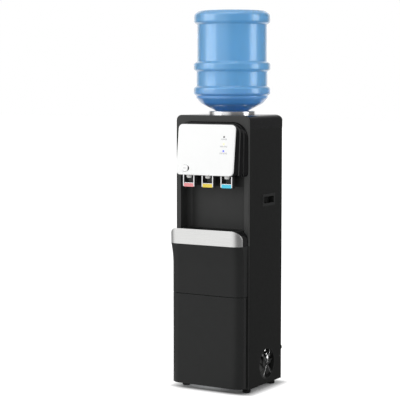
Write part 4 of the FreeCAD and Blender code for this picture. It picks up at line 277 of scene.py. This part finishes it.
MATERIALS = {
    "case_black": moulded("case_black", (0.019, 0.0195, 0.0193), 0.34, 0.16, grain=0.45, depth=0.02),
    "bezel_grey": moulded("bezel_grey", (0.045, 0.0458, 0.045), 0.36, 0.2, grain=0.45, depth=0.02),
    "gloss_black": moulded("gloss_black", (0.0035, 0.0035, 0.004), 0.16, 0.4, 1.5, 0.003, 0.05),
    "side_steel": moulded("side_steel", (0.0095, 0.0098, 0.0095), 0.4, 0.14, grain=0.9, depth=0.03, wear=0.1),
    "panel_white": moulded("panel_white", (0.88, 0.885, 0.88), 0.2, 0.5, 2.5, 0.003, 0.0, 1.2, 0.3, 0.012),
    "nozzle_white": moulded("nozzle_white", (0.84, 0.84, 0.82), 0.25, 0.5, 1.5, 0.004, 0.0),
    "chrome_trim": chrome("chrome_trim"),
    "brushed_trim": brushed("brushed_trim", (0.78, 0.78, 0.77), 0.3, (60, 0.25, 0.25)),
    "label_pink": moulded("label_pink", (0.9, 0.33, 0.34), 0.24, 0.5, 1.0, 0.004, 0.1, 0.4),
    "label_yellow": moulded("label_yellow", (0.91, 0.7, 0.09), 0.24, 0.5, 1.0, 0.004, 0.1, 0.4),
    "label_cyan": moulded("label_cyan", (0.09, 0.66, 0.9), 0.24, 0.5, 1.0, 0.004, 0.1, 0.4),
    "lamp_dark": lens("lamp_dark", (0.06, 0.06, 0.06), 0.0),
    "lamp_yellow": lens("lamp_yellow", (0.95, 0.88, 0.36), 0.5),
    "lamp_blue": lens("lamp_blue", (0.04, 0.07, 0.92), 0.9),
    "bottle_blue": polycarbonate("bottle_blue"),
    "cap_blue": moulded("cap_blue", (0.05, 0.16, 0.52), 0.4, 0.4, 0.8, 0.01),
    "seat_white": moulded("seat_white", (0.78, 0.79, 0.79), 0.36, 0.4, 0.8, 0.01, 0.0),
    "store_grey": moulded("store_grey", (0.05, 0.05, 0.052), 0.45, 0.35, 0.6, 0.03),
    "steel_bright": brushed("steel_bright", (0.6, 0.6, 0.6), 0.27, (0.4, 0.4, 30)),
    "zinc": galvanised("zinc"),
    "foam": bead_foam("foam"),
    "silicone": clear_tube("silicone"),
    "rubber_black": moulded("rubber_black", (0.012, 0.012, 0.012), 0.75, 0.25, 0.6, 0.05, 0.15),
    "machine_black": moulded("machine_black", (0.01, 0.01, 0.011), 0.35, 0.45, 3.0, 0.05, 0.2),
    "copper": copper_pipe("copper"),
    "switch_red": lens("switch_red", (0.62, 0.02, 0.015), 0.12),
    "switch_green": lens("switch_green", (0.02, 0.42, 0.07), 0.12),
}
INK = printed("printed_grey", (0.2, 0.2, 0.21))


def slot_of(node):
    """Name of the material slot that a CAD node came with."""
    return node.data.materials[0].name.split(".")[0]


for node in nodes.values():
    name = slot_of(node)
    for index in range(len(node.material_slots)):
        node.material_slots[index].material = MATERIALS[name]


# ---------------------------------------------------------------- mesh helpers
PROFILE_STEPS = 7
SHARP_ANGLE = 40.0             # degrees


def add_piece(name, mesh, body, material, replaced=()):
    """Adds a piece to the scene that moves with a body; it may stand in for CAD nodes."""
    piece = bpy.data.objects.new(name, mesh)
    bpy.context.scene.collection.objects.link(piece)
    mesh.materials.append(material)
    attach(piece, body)
    if replaced:
        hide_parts(*replaced)


def rounded_profile(corners):
    """Points along a path of (radius, height, rounding) corners, with an arc at each rounded corner."""
    points = []
    for index, (r, z, rounding) in enumerate(corners):
        here = Vector((r, z))
        if rounding == 0 or index in (0, len(corners) - 1):
            points.append(here)
            continue
        back = (Vector(corners[index - 1][:2]) - here).normalized()
        ahead = (Vector(corners[index + 1][:2]) - here).normalized()
        half_angle = back.angle(ahead) / 2
        reach = rounding / math.tan(half_angle)
        centre = here + (back + ahead).normalized() * rounding / math.sin(half_angle)
        start = here + back * reach - centre
        sweep = start.angle_signed(here + ahead * reach - centre)
        for step in range(PROFILE_STEPS + 1):
            turn = Matrix.Rotation(-sweep * step / PROFILE_STEPS, 2)
            points.append(centre + turn @ start)
    return points


def lathe(name, profile, axis_y, segments=144):
    """Closed mesh of revolution about the upright axis through (0, axis_y); millimetres in, metres out."""
    mesh = bmesh.new()
    rings = []
    for radius, height in profile:
        if radius < 1e-6:
            rings.append([mesh.verts.new((0, axis_y * MM, height * MM))])
            continue
        ring = []
        for segment in range(segments):
            angle = 2 * math.pi * segment / segments
            place = (radius * math.cos(angle), axis_y + radius * math.sin(angle), height)
            ring.append(mesh.verts.new([value * MM for value in place]))
        rings.append(ring)
    for lower, upper in zip(rings, rings[1:]):
        for segment in range(segments):
            following = (segment + 1) % segments
            corners = [lower[segment % len(lower)], lower[following % len(lower)],
                       upper[following % len(upper)], upper[segment % len(upper)]]
            mesh.faces.new(dict.fromkeys(corners))
    bmesh.ops.recalc_face_normals(mesh, faces=mesh.faces)
    data = bpy.data.meshes.new(name)
    mesh.to_mesh(data)
    mesh.free()
    data.shade_smooth()
    data.set_sharp_from_angle(angle=math.radians(SHARP_ANGLE))
    return data


def wire(name, points, radius):
    """Mesh of a thin round wire along points in metres; its radius is in millimetres."""
    curve = bpy.data.curves.new(name, "CURVE")
    curve.dimensions = "3D"
    curve.bevel_depth = radius * MM
    curve.bevel_resolution = 3
    curve.use_fill_caps = True
    spline = curve.splines.new("POLY")
    spline.points.add(len(points) - 1)
    for target, point in zip(spline.points, points):
        target.co = (*point, 1)
    holder = bpy.data.objects.new(name, curve)
    mesh = bpy.data.meshes.new_from_object(holder)
    bpy.data.objects.remove(holder)
    mesh.shade_smooth()
    return mesh


# ---------------------------------------------------------------- bottle
NECK_RADIUS = 27.5
NECK_LENGTH = 43.0
NECK_ROUNDING = 3.0
RING_RADIUS = 138.3
BASE_RADIUS = 137.0
BODY_RADIUS = 125.6
WAIST_RADIUS = 128.0
SHOULDER_RADIUS = 129.5
SHOULDER_DROP = 311.0          # drops are measured down from the bottle's top
SHOULDER_ROUNDING = 12.0
CONE_RADIUS = 110.0
CONE_SLOPE = 0.5
CONE_ROUNDING = 36.0
BOTTLE_WALL = 1.5
RINGS = ((276.0, 21.0, SHOULDER_RADIUS, WAIST_RADIUS), (188.0, 22.0, WAIST_RADIUS, BODY_RADIUS))
RING_SLOPE = 7.2               # height over which a ring swells out
RING_ROUNDING = 7.0
RING_FOOT_ROUNDING = 4.0
BASE_FOOT_DROP = 49.0
BASE_LOW_DROP = 41.0
BASE_HIGH_DROP = 13.0
BASE_LOW_ROUNDING = 8.0
BASE_ROUNDING = 14.0
BASE_CHAMFER = 17.0
HOLLOW_RADIUS = 76.0           # hollow in the base, with a floor that rises to the middle
HOLLOW_ROUNDING = 5.0
HOLLOW_FLOOR_RADIUS = 62.0
HOLLOW_FLOOR_ROUNDING = 9.0
HOLLOW_DEPTH = 11.0
HOLLOW_MIDDLE_DEPTH = 9.0


def bottle_corners():
    """Outer (radius, height, rounding) corners, from the neck up to the middle of the base."""
    neck_top = NECK_END + NECK_LENGTH
    cone_top = neck_top + (CONE_RADIUS - NECK_RADIUS) * CONE_SLOPE
    corners = [(NECK_RADIUS, NECK_END, 0),
               (NECK_RADIUS, neck_top, NECK_ROUNDING),
               (CONE_RADIUS, cone_top, CONE_ROUNDING),
               (SHOULDER_RADIUS, BOTTLE_TOP - SHOULDER_DROP, SHOULDER_ROUNDING)]
    for drop, height, below, above in RINGS:
        top = BOTTLE_TOP - drop
        corners += [(below, top - height - RING_SLOPE, RING_FOOT_ROUNDING),
                    (RING_RADIUS, top - height, RING_ROUNDING),
                    (RING_RADIUS, top, RING_ROUNDING),
                    (above, top + RING_SLOPE, RING_FOOT_ROUNDING)]
    corners += [(BODY_RADIUS, BOTTLE_TOP - BASE_FOOT_DROP, RING_FOOT_ROUNDING),
                (BASE_RADIUS, BOTTLE_TOP - BASE_LOW_DROP, BASE_LOW_ROUNDING),
                (BASE_RADIUS, BOTTLE_TOP - BASE_HIGH_DROP, BASE_ROUNDING),
                (BASE_RADIUS - BASE_CHAMFER, BOTTLE_TOP, BASE_ROUNDING),
                (HOLLOW_RADIUS, BOTTLE_TOP, HOLLOW_ROUNDING),
                (HOLLOW_FLOOR_RADIUS, BOTTLE_TOP - HOLLOW_DEPTH, HOLLOW_FLOOR_ROUNDING),
                (0, BOTTLE_TOP - HOLLOW_MIDDLE_DEPTH, 0)]
    return corners


def inward(profile, wall):
    """The profile moved inwards by the wall."""
    moved = []
    last = len(profile) - 1
    for index, point in enumerate(profile):
        along = (profile[min(index + 1, last)] - profile[max(index - 1, 0)]).normalized()
        place = point + Vector((-along.y, along.x)) * wall
        moved.append(Vector((max(place.x, 0), place.y)))
    moved[-1].x = 0
    return moved


outer = rounded_profile(bottle_corners())
bottle_mesh = lathe("bottle_shell", list(reversed(inward(outer, BOTTLE_WALL))) + outer, BOTTLE_Y)
add_piece("bottle_shell", bottle_mesh, "bottle", MATERIALS["bottle_blue"], ["water_bottle"])


# ---------------------------------------------------------------- polished edges of the silver trim
TRIM_LOW = 530.0
TRIM_HIGH = 585.0
TRIM_CORNER = 35.0
TRIM_HALF_WIDTH = 148.0
TRIM_FLAT = 109.4              # half width of the flat middle, beyond which the face curves back
TRIM_ARC = 45.98
TRIM_FOOT_PROUD = 60.0
TRIM_LEAN = 2.0
EDGE_STEPS = 12
FOOT_STEPS = 40
BEAD = 0.7
BEAD_FOOT = 1.0                # how far above the trim's foot the edge bead starts


def trim_surface(x, z, sink):
    """Point of the trim's face at x and z, sunk below it."""
    over = max(0.0, min(abs(x), TRIM_HALF_WIDTH) - TRIM_FLAT)
    drop = TRIM_ARC - math.sqrt(TRIM_ARC ** 2 - over ** 2)
    proud = TRIM_FOOT_PROUD + TRIM_LEAN * (z - TRIM_LOW) / (TRIM_HIGH - TRIM_LOW) - drop
    return Vector((x, FRONT_Y - proud + sink, z)) * MM


def trim_edge_points(inset):
    """(x, z) points round the trim's sides and top, inset from its outline."""
    half = TRIM_HALF_WIDTH - inset
    top = TRIM_HIGH - inset
    radius = TRIM_CORNER - inset
    outline = [(half, TRIM_LOW + inset + BEAD_FOOT)]
    for step in range(EDGE_STEPS + 1):
        angle = math.pi / 2 * step / EDGE_STEPS
        outline.append((half - radius + radius * math.cos(angle), top - radius + radius * math.sin(angle)))
    for step in range(1, EDGE_STEPS):
        outline.append(((half - radius) * (1 - step / EDGE_STEPS), top))
    mirrored = [(-x, z) for x, z in reversed(outline)]
    return outline + [(0, top)] + mirrored


edge_bead = wire("trim_edge_bead", [trim_surface(x, z, BEAD) for x, z in trim_edge_points(BEAD)], BEAD)
add_piece("trim_edge_bead", edge_bead, "cabinet", MATERIALS["chrome_trim"])
foot_line = [((2 * step / FOOT_STEPS - 1) * (TRIM_HALF_WIDTH - BEAD), TRIM_LOW + BEAD)
             for step in range(FOOT_STEPS + 1)]
foot_bead = wire("trim_foot_bead", [trim_surface(x, z, BEAD) for x, z in foot_line], BEAD)
add_piece("trim_foot_bead", foot_bead, "cabinet", MATERIALS["chrome_trim"])


# ---------------------------------------------------------------- print on the control panel
CONTROL_TOP = 956.0
CONTROL_BOTTOM = 777.0
CONTROL_TOP_PROUD = 36.5
CONTROL_BOTTOM_PROUD = 57.5
CONTROL_SLOPE = (CONTROL_BOTTOM_PROUD - CONTROL_TOP_PROUD) / (CONTROL_TOP - CONTROL_BOTTOM)
LAMP_X = 73.5
LAMPS = (("POWER", 913.0), ("HEATING", 888.0), ("COOLING", 864.0))
PRINT_SIZE = 7.0
PRINT_DROP = 8.5               # from a lamp down to its word
PRINT_HEIGHT = 0.03
LOCK_PRINT_SIZE = 5.0
LOCK_PRINT_SHIFT = 1.0
BUTTON_X = -80.0
BUTTON_Z = 800.0
BUTTON_HALF_WIDTH = 12.5
BUTTON_HALF_HEIGHT = 11.5
BUTTON_CORNER = 9.0
BUTTON_PROUD = 2.2
# Painted shadow right of the lock button: the crescent's width, height, gap from the button, tips and steps.
SHADOW_CRESCENT_WIDTH = 5.0
SHADOW_CRESCENT_HEIGHT = 21.0
SHADOW_CRESCENT_GAP = 0.5
SHADOW_CRESCENT_TIP = 0.01               # width that is left at the crescent's tips
SHADOW_CRESCENT_STEPS = 24


def control_matrix(x, z):
    """Frame of a print on the leaning control face: X right, Y up the face, Z out of it."""
    lean = math.atan(CONTROL_SLOPE)
    right = Vector((1, 0, 0))
    up = Vector((0, math.sin(lean), math.cos(lean)))
    out = Vector((0, -math.cos(lean), math.sin(lean)))
    place = Vector((x, FRONT_Y - CONTROL_TOP_PROUD - (CONTROL_TOP - z) * CONTROL_SLOPE, z)) * MM
    axes = Matrix((right, up, out)).transposed().to_4x4()
    return Matrix.Translation(place) @ axes


def lettering(name, words, size, matrix):
    """Mesh of raised words at a frame."""
    curve = bpy.data.curves.new(name, "FONT")
    curve.body = words
    curve.size = size * MM
    curve.align_x = "CENTER"
    curve.align_y = "CENTER"
    curve.extrude = PRINT_HEIGHT * MM
    curve.resolution_u = 3
    holder = bpy.data.objects.new(name, curve)
    mesh = bpy.data.meshes.new_from_object(holder)
    bpy.data.objects.remove(holder)
    mesh.transform(matrix)
    return mesh


def button_side_edge(height):
    """Where the button's right side is at a height above its middle."""
    over = max(0.0, abs(height) - (BUTTON_HALF_HEIGHT - BUTTON_CORNER))
    return BUTTON_HALF_WIDTH - BUTTON_CORNER + math.sqrt(max(0.0, BUTTON_CORNER ** 2 - over ** 2))


def painted_shadow_crescent(name):
    """Painted shadow: a dark crescent sheet on the panel beside the lock button, standing in for the shade at
    the button's right side.
    """
    mesh = bmesh.new()
    rows = []
    for step in range(SHADOW_CRESCENT_STEPS + 1):
        share = 2 * step / SHADOW_CRESCENT_STEPS - 1
        height = share * SHADOW_CRESCENT_HEIGHT / 2
        near = button_side_edge(height) + SHADOW_CRESCENT_GAP
        far = near + SHADOW_CRESCENT_WIDTH * (1 - share ** 2) + SHADOW_CRESCENT_TIP
        middle = (near + far) / 2
        places = [(near, 0.0), (near, PRINT_HEIGHT), (middle, 4 * PRINT_HEIGHT),
                  (far, PRINT_HEIGHT), (far, 0.0)]
        rows.append([mesh.verts.new((x * MM, height * MM, lift * MM)) for x, lift in places])
    for first, second in zip(rows, rows[1:]):
        for index in range(len(first) - 1):
            mesh.faces.new((first[index], first[index + 1], second[index + 1], second[index]))
    bmesh.ops.recalc_face_normals(mesh, faces=mesh.faces)
    data = bpy.data.meshes.new(name)
    mesh.to_mesh(data)
    mesh.free()
    data.transform(control_matrix(BUTTON_X, BUTTON_Z))
    data.shade_smooth()
    return data


for words, height in LAMPS:
    name = "print_" + words.lower()
    mesh = lettering(name, words, PRINT_SIZE, control_matrix(LAMP_X, height - PRINT_DROP))
    add_piece(name, mesh, "cabinet", INK)
lock_face = control_matrix(BUTTON_X - LOCK_PRINT_SHIFT, BUTTON_Z)
lock_face = lock_face @ Matrix.Translation((0, 0, BUTTON_PROUD * MM))
lock_mesh = lettering("print_lock", "LOCK", LOCK_PRINT_SIZE, lock_face)
add_piece("print_lock", lock_mesh, "lock_button", INK)
# Painted shadow beside the lock button, drawn as a dark crescent sheet.
add_piece("lock_painted_shadow", painted_shadow_crescent("lock_painted_shadow"), "cabinet", MATERIALS["gloss_black"])


# ---------------------------------------------------------------- ribs round the dispensing head, in lighter greys as painted highlight lines
HEAD_HALF_WIDTH = 146.0
HEAD_TOP = 963.0
HEAD_BOTTOM = 774.0
HEAD_TOP_RADIUS = 60.0
PANEL_HALF_WIDTH = 114.5
PANEL_TOP = 954.0
PANEL_BOTTOM = 779.0
PANEL_RADIUS = 17.0
PANEL_THICKNESS = 6.04         # of the leaning control panel, measured straight back
HEAD_LEDGE = 1.2
HEAD_STEPS = 3
# The ribs are real ridges; their greys, lighter than the gloss-black head, paint the highlight lines along
# its steps.
RIBS = ((0.6, 2.0, "bezel_grey"), (0.3, 1.3, "case_black"))      # share of the way out, radius, slot
RIB_SINK = 0.3                 # share of its radius by which a rib is sunk into the head
SIDE_STEPS = 12
CORNER_STEPS = 16
TOP_STEPS = 8


def head_outline(share, sink):
    """Points up one side of the head, over its top and down the other, at a share of the way out."""
    def between(start, end):
        return start + (end - start) * share

    ledge = int(share * HEAD_STEPS) * HEAD_LEDGE + sink
    half = between(HEAD_HALF_WIDTH, PANEL_HALF_WIDTH) - ledge
    top = between(HEAD_TOP, PANEL_TOP) - ledge
    bottom = between(HEAD_BOTTOM, PANEL_BOTTOM) + ledge
    radius = between(HEAD_TOP_RADIUS, PANEL_RADIUS)
    outline = [(half, bottom + (top - radius - bottom) * step / SIDE_STEPS) for step in range(SIDE_STEPS)]
    for step in range(CORNER_STEPS + 1):
        angle = math.pi / 2 * step / CORNER_STEPS
        outline.append((half - radius + radius * math.cos(angle), top - radius + radius * math.sin(angle)))
    outline += [((half - radius) * (1 - step / TOP_STEPS), top) for step in range(1, TOP_STEPS)]
    outline = outline + [(0, top)] + [(-x, z) for x, z in reversed(outline)]
    points = []
    for x, z in outline:
        proud = CONTROL_TOP_PROUD + (CONTROL_TOP - z) * CONTROL_SLOPE - PANEL_THICKNESS
        points.append(Vector((x, FRONT_Y - proud * share, z)) * MM)
    return points


for number, (share, radius, slot) in enumerate(RIBS, 1):
    name = "head_rib_%d" % number
    mesh = wire(name, head_outline(share, radius * RIB_SINK), radius)
    add_piece(name, mesh, "cabinet", MATERIALS[slot])


# ---------------------------------------------------------------- vent, with a painted-shade disc behind the fan
VENT_LOW, VENT_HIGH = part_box("vent_guard")
VENT_PLACE = ((VENT_LOW + VENT_HIGH) / 2) / MM
VENT_FACE = VENT_HIGH.x / MM
FAN_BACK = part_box("fan_frame")[0].x / MM
SHADE_DISC_RADIUS = 50.0
SHADE_DISC_THICKNESS = 2.0
SHADE_DISC_GAP = 4.0               # from the fan back to the disc's rear face
SHADE_DISC_SEGMENTS = 96
PLEATS = 12
PLEAT_DEPTH = 1.2
CROSS_RADIUS = 0.8
CROSS_REACH = 50.0
CROSS_ANGLES = (62.0, 128.0)
CROSS_STEPS = 8


def pleated_shade_disc(name):
    """Painted shade: a dark pleated disc behind the fan, so that the vent is dark inside."""
    folds = 2 * PLEATS
    front = [Vector((SHADE_DISC_RADIUS * step / folds, SHADE_DISC_THICKNESS + PLEAT_DEPTH * (step % 2)))
             for step in range(folds + 1)]
    profile = [Vector((0, 0)), Vector((SHADE_DISC_RADIUS, 0))] + list(reversed(front))
    mesh = lathe(name, profile, 0, SHADE_DISC_SEGMENTS)
    mesh.transform(Matrix.Rotation(math.pi / 2, 4, "Y"))
    mesh.transform(Matrix.Translation(Vector((FAN_BACK - SHADE_DISC_GAP, VENT_PLACE.y, VENT_PLACE.z)) * MM))
    return mesh


def cross_points(turn):
    """Points of a straight wire across the vent, turned by degrees from level."""
    angle = math.radians(turn)
    points = []
    for step in range(CROSS_STEPS + 1):
        along = CROSS_REACH * (2 * step / CROSS_STEPS - 1)
        points.append(Vector((VENT_FACE - CROSS_RADIUS, VENT_PLACE.y + along * math.cos(angle),
                              VENT_PLACE.z + along * math.sin(angle))) * MM)
    return points


# Painted shade: the dark disc keeps the view through the vent dark.
add_piece("vent_painted_shade", pleated_shade_disc("vent_painted_shade"), "cabinet", MATERIALS["rubber_black"])
for number, turn in enumerate(CROSS_ANGLES, 1):
    name = "vent_cross_%d" % number
    mesh = wire(name, cross_points(turn), CROSS_RADIUS)
    add_piece(name, mesh, "cabinet", MATERIALS["chrome_trim"])


# ---------------------------------------------------------------- floor, light and camera
AZIMUTH = 31.25                # degrees; 0 is in front of the object and 90 on its right
ELEVATION = 4.94
CAMERA_PLACE = (2.49928, -4.30997, 1.10849)      # metres
LENS = 124.08
SENSOR_WIDTH = 36
CLIP_END = 100                 # metres
AMBIENT = 0.72
WALL_SHADE = 0.2
# What mirrors see: azimuth, elevation, outer and inner half angle in degrees, and strength.
STUDIO = ((AZIMUTH + 180, 0, 50, 25, 1.0), (0, 90, 80, 30, 0.8), (-30, 10, 70, 20, 1.0))
# Lamps: name, azimuth, then distance, height, width and tall in metres, and radiance.
SOFTBOXES = (("key_left", -44, 3.2, 2.1, 2.6, 2.2, 1.95),
             ("fill_right", 104, 3.4, 1.5, 1.5, 2.4, 2.6),
             ("top", 10, 1.2, 3.6, 2.2, 2.2, 1.2))
AIM_HEIGHT = 0.75              # metres
CABINET_HALF_WIDTH = 0.15      # metres, as the next two
CABINET_HALF_DEPTH = 0.125
CABINET_MIDDLE_Y = 0.0155
FLOOR_HALF_WIDTH = 30          # metres
FLOOR_DROP = 0.0005            # metres
FLOOR_COLOUR = (0.8, 0.8, 0.8)
FLOOR_GLOW = 0.62
# Width of the painted shadow round the base, over which the floor's glow fades in.
PAINTED_SHADOW_FADE = 40.0


def maths(tree, operation, first, second=0.0, clamp=False):
    """Output of a maths node; a value may be a number or a socket."""
    node = tree.nodes.new("ShaderNodeMath")
    node.operation = operation
    node.use_clamp = clamp
    for value, socket in zip((first, second), node.inputs):
        if isinstance(value, bpy.types.NodeSocket):
            tree.links.new(value, socket)
        else:
            socket.default_value = value
    return node.outputs["Value"]


def ray_share(tree, rays):
    """1 for the kinds of ray named and 0 for the others."""
    path = tree.nodes.new("ShaderNodeLightPath")
    total = path.outputs[rays[0]]
    for ray in rays[1:]:
        total = maths(tree, "ADD", total, path.outputs[ray], clamp=True)
    return total


def toward(tree, direction, azimuth, elevation, start, end):
    """1 where the direction is the azimuth and elevation, fading to 0 from end to start degrees off them."""
    angle, rise = math.radians(azimuth), math.radians(elevation)
    aim = (math.sin(angle) * math.cos(rise), -math.cos(angle) * math.cos(rise), math.sin(rise))
    dot = tree.nodes.new("ShaderNodeVectorMath")
    dot.operation = "DOT_PRODUCT"
    tree.links.new(direction, dot.inputs[0])
    dot.inputs[1].default_value = aim
    ramp = tree.nodes.new("ShaderNodeMapRange")
    ramp.interpolation_type = "SMOOTHSTEP"
    ramp.inputs["From Min"].default_value = math.cos(math.radians(start))
    ramp.inputs["From Max"].default_value = math.cos(math.radians(end))
    tree.links.new(dot.outputs["Value"], ramp.inputs["Value"])
    return ramp.outputs["Result"]


def studio_walls(tree, direction):
    """What mirrors see: the white backdrop, a pale ceiling, a bright front and dim walls elsewhere."""
    total = WALL_SHADE
    for azimuth, elevation, start, end, strength in STUDIO:
        share = maths(tree, "MULTIPLY", toward(tree, direction, azimuth, elevation, start, end), strength)
        total = maths(tree, "MAXIMUM", share, total)
    return total


def background(tree, strength):
    """White background shader; its strength may be a number or a socket."""
    node = tree.nodes.new("ShaderNodeBackground")
    node.inputs["Color"].default_value = (1, 1, 1, 1)
    if isinstance(strength, bpy.types.NodeSocket):
        tree.links.new(strength, node.inputs["Strength"])
    else:
        node.inputs["Strength"].default_value = strength
    return node.outputs[0]


def mixed(tree, share, first, second):
    """Mix of two shaders."""
    mix = tree.nodes.new("ShaderNodeMixShader")
    tree.links.new(share, mix.inputs["Fac"])
    tree.links.new(first, mix.inputs[1])
    tree.links.new(second, mix.inputs[2])
    return mix.outputs[0]


def white_world():
    """White for the camera and through glass, the studio in mirrors, and an even light elsewhere."""
    world = bpy.data.worlds.new("studio")
    bpy.context.scene.world = world
    world.use_nodes = True
    tree = world.node_tree
    tree.nodes.clear()
    around = background(tree, AMBIENT)
    mirrored = background(tree, studio_walls(tree, tree.nodes.new("ShaderNodeTexCoord").outputs["Generated"]))
    white = background(tree, 1.0)
    shade = mixed(tree, ray_share(tree, ["Is Glossy Ray"]), around, mirrored)
    shade = mixed(tree, ray_share(tree, ["Is Camera Ray", "Is Transmission Ray"]), shade, white)
    output = tree.nodes.new("ShaderNodeOutputWorld")
    tree.links.new(shade, output.inputs["Surface"])


def emission(tree, strength):
    """White emission whose strength is a socket."""
    node = tree.nodes.new("ShaderNodeEmission")
    tree.links.new(strength, node.inputs["Strength"])
    return node.outputs[0]


def painted_shadow_ramp(tree):
    """Painted shadow round the base: 0 under the object and 1 from the fade width in millimetres beside it,
    for the floor's glow.
    """
    apart = tree.nodes.new("ShaderNodeSeparateXYZ")
    tree.links.new(tree.nodes.new("ShaderNodeTexCoord").outputs["Object"], apart.inputs["Vector"])
    squares = []
    for axis, half, middle in (("X", CABINET_HALF_WIDTH, 0.0), ("Y", CABINET_HALF_DEPTH, CABINET_MIDDLE_Y)):
        offset = maths(tree, "ABSOLUTE", maths(tree, "SUBTRACT", apart.outputs[axis], middle))
        outside = maths(tree, "MAXIMUM", maths(tree, "SUBTRACT", offset, half), 0.0)
        squares.append(maths(tree, "MULTIPLY", outside, outside))
    distance = maths(tree, "SQRT", maths(tree, "ADD", *squares))
    ramp = tree.nodes.new("ShaderNodeMapRange")
    ramp.interpolation_type = "SMOOTHSTEP"
    ramp.inputs["From Max"].default_value = PAINTED_SHADOW_FADE * MM
    tree.links.new(distance, ramp.inputs["Value"])
    return ramp.outputs["Result"]


def floor_material():
    """Pale floor that keeps shadows, glows beside the object with a painted shadow round its base where the
    glow fades out, and shows the studio in mirrors.
    """
    material = bpy.data.materials.new("floor_pale")
    material.use_nodes = True
    tree = material.node_tree
    tree.nodes.clear()
    diffuse = tree.nodes.new("ShaderNodeBsdfDiffuse")
    diffuse.inputs["Color"].default_value = (*FLOOR_COLOUR, 1)
    seen = ray_share(tree, ["Is Camera Ray", "Is Transmission Ray"])
    share = maths(tree, "MULTIPLY", seen, painted_shadow_ramp(tree))
    lit = tree.nodes.new("ShaderNodeAddShader")
    tree.links.new(diffuse.outputs[0], lit.inputs[0])
    tree.links.new(emission(tree, maths(tree, "MULTIPLY", share, FLOOR_GLOW)), lit.inputs[1])
    outward = tree.nodes.new("ShaderNodeVectorMath")
    outward.operation = "NORMALIZE"
    tree.links.new(tree.nodes.new("ShaderNodeTexCoord").outputs["Object"], outward.inputs[0])
    mirrored = emission(tree, studio_walls(tree, outward.outputs["Vector"]))
    shade = mixed(tree, ray_share(tree, ["Is Glossy Ray"]), lit.outputs[0], mirrored)
    output = tree.nodes.new("ShaderNodeOutputMaterial")
    tree.links.new(shade, output.inputs["Surface"])
    return material


def floor():
    """Wide floor just under the feet, which is stage and not part of the object."""
    mesh = bmesh.new()
    bmesh.ops.create_grid(mesh, x_segments=1, y_segments=1, size=FLOOR_HALF_WIDTH)
    data = bpy.data.meshes.new("floor")
    mesh.to_mesh(data)
    mesh.free()
    data.materials.append(floor_material())
    plane = bpy.data.objects.new("floor", data)
    plane.location.z = -FLOOR_DROP
    bpy.context.scene.collection.objects.link(plane)


def softbox(name, azimuth, distance, height, width, tall, radiance):
    """Area light that faces the object's middle."""
    angle = math.radians(azimuth)
    light = bpy.data.lights.new(name, "AREA")
    light.shape = "RECTANGLE"
    light.size = width
    light.size_y = tall
    light.energy = radiance * math.pi * width * tall
    lamp = bpy.data.objects.new(name, light)
    place = Vector((math.sin(angle) * distance, -math.cos(angle) * distance, height))
    lamp.location = place
    lamp.rotation_mode = "QUATERNION"
    lamp.rotation_quaternion = (Vector((0, 0, AIM_HEIGHT)) - place).to_track_quat("-Z", "Y")
    lamp.visible_camera = False
    bpy.context.scene.collection.objects.link(lamp)


def camera():
    """Camera at the photograph's place and angle."""
    data = bpy.data.cameras.new("camera")
    data.lens = LENS
    data.sensor_width = SENSOR_WIDTH
    data.clip_end = CLIP_END
    view = bpy.data.objects.new("camera", data)
    azimuth, elevation = math.radians(AZIMUTH), math.radians(ELEVATION)
    back = Vector((math.sin(azimuth) * math.cos(elevation), -math.cos(azimuth) * math.cos(elevation),
                   math.sin(elevation)))
    view.location = CAMERA_PLACE
    view.rotation_mode = "QUATERNION"
    view.rotation_quaternion = (-back).to_track_quat("-Z", "Y")
    bpy.context.scene.collection.objects.link(view)
    bpy.context.scene.camera = view


white_world()
floor()
for settings in SOFTBOXES:
    softbox(*settings)
camera()
bpy.context.scene.view_settings.view_transform = "Standard"
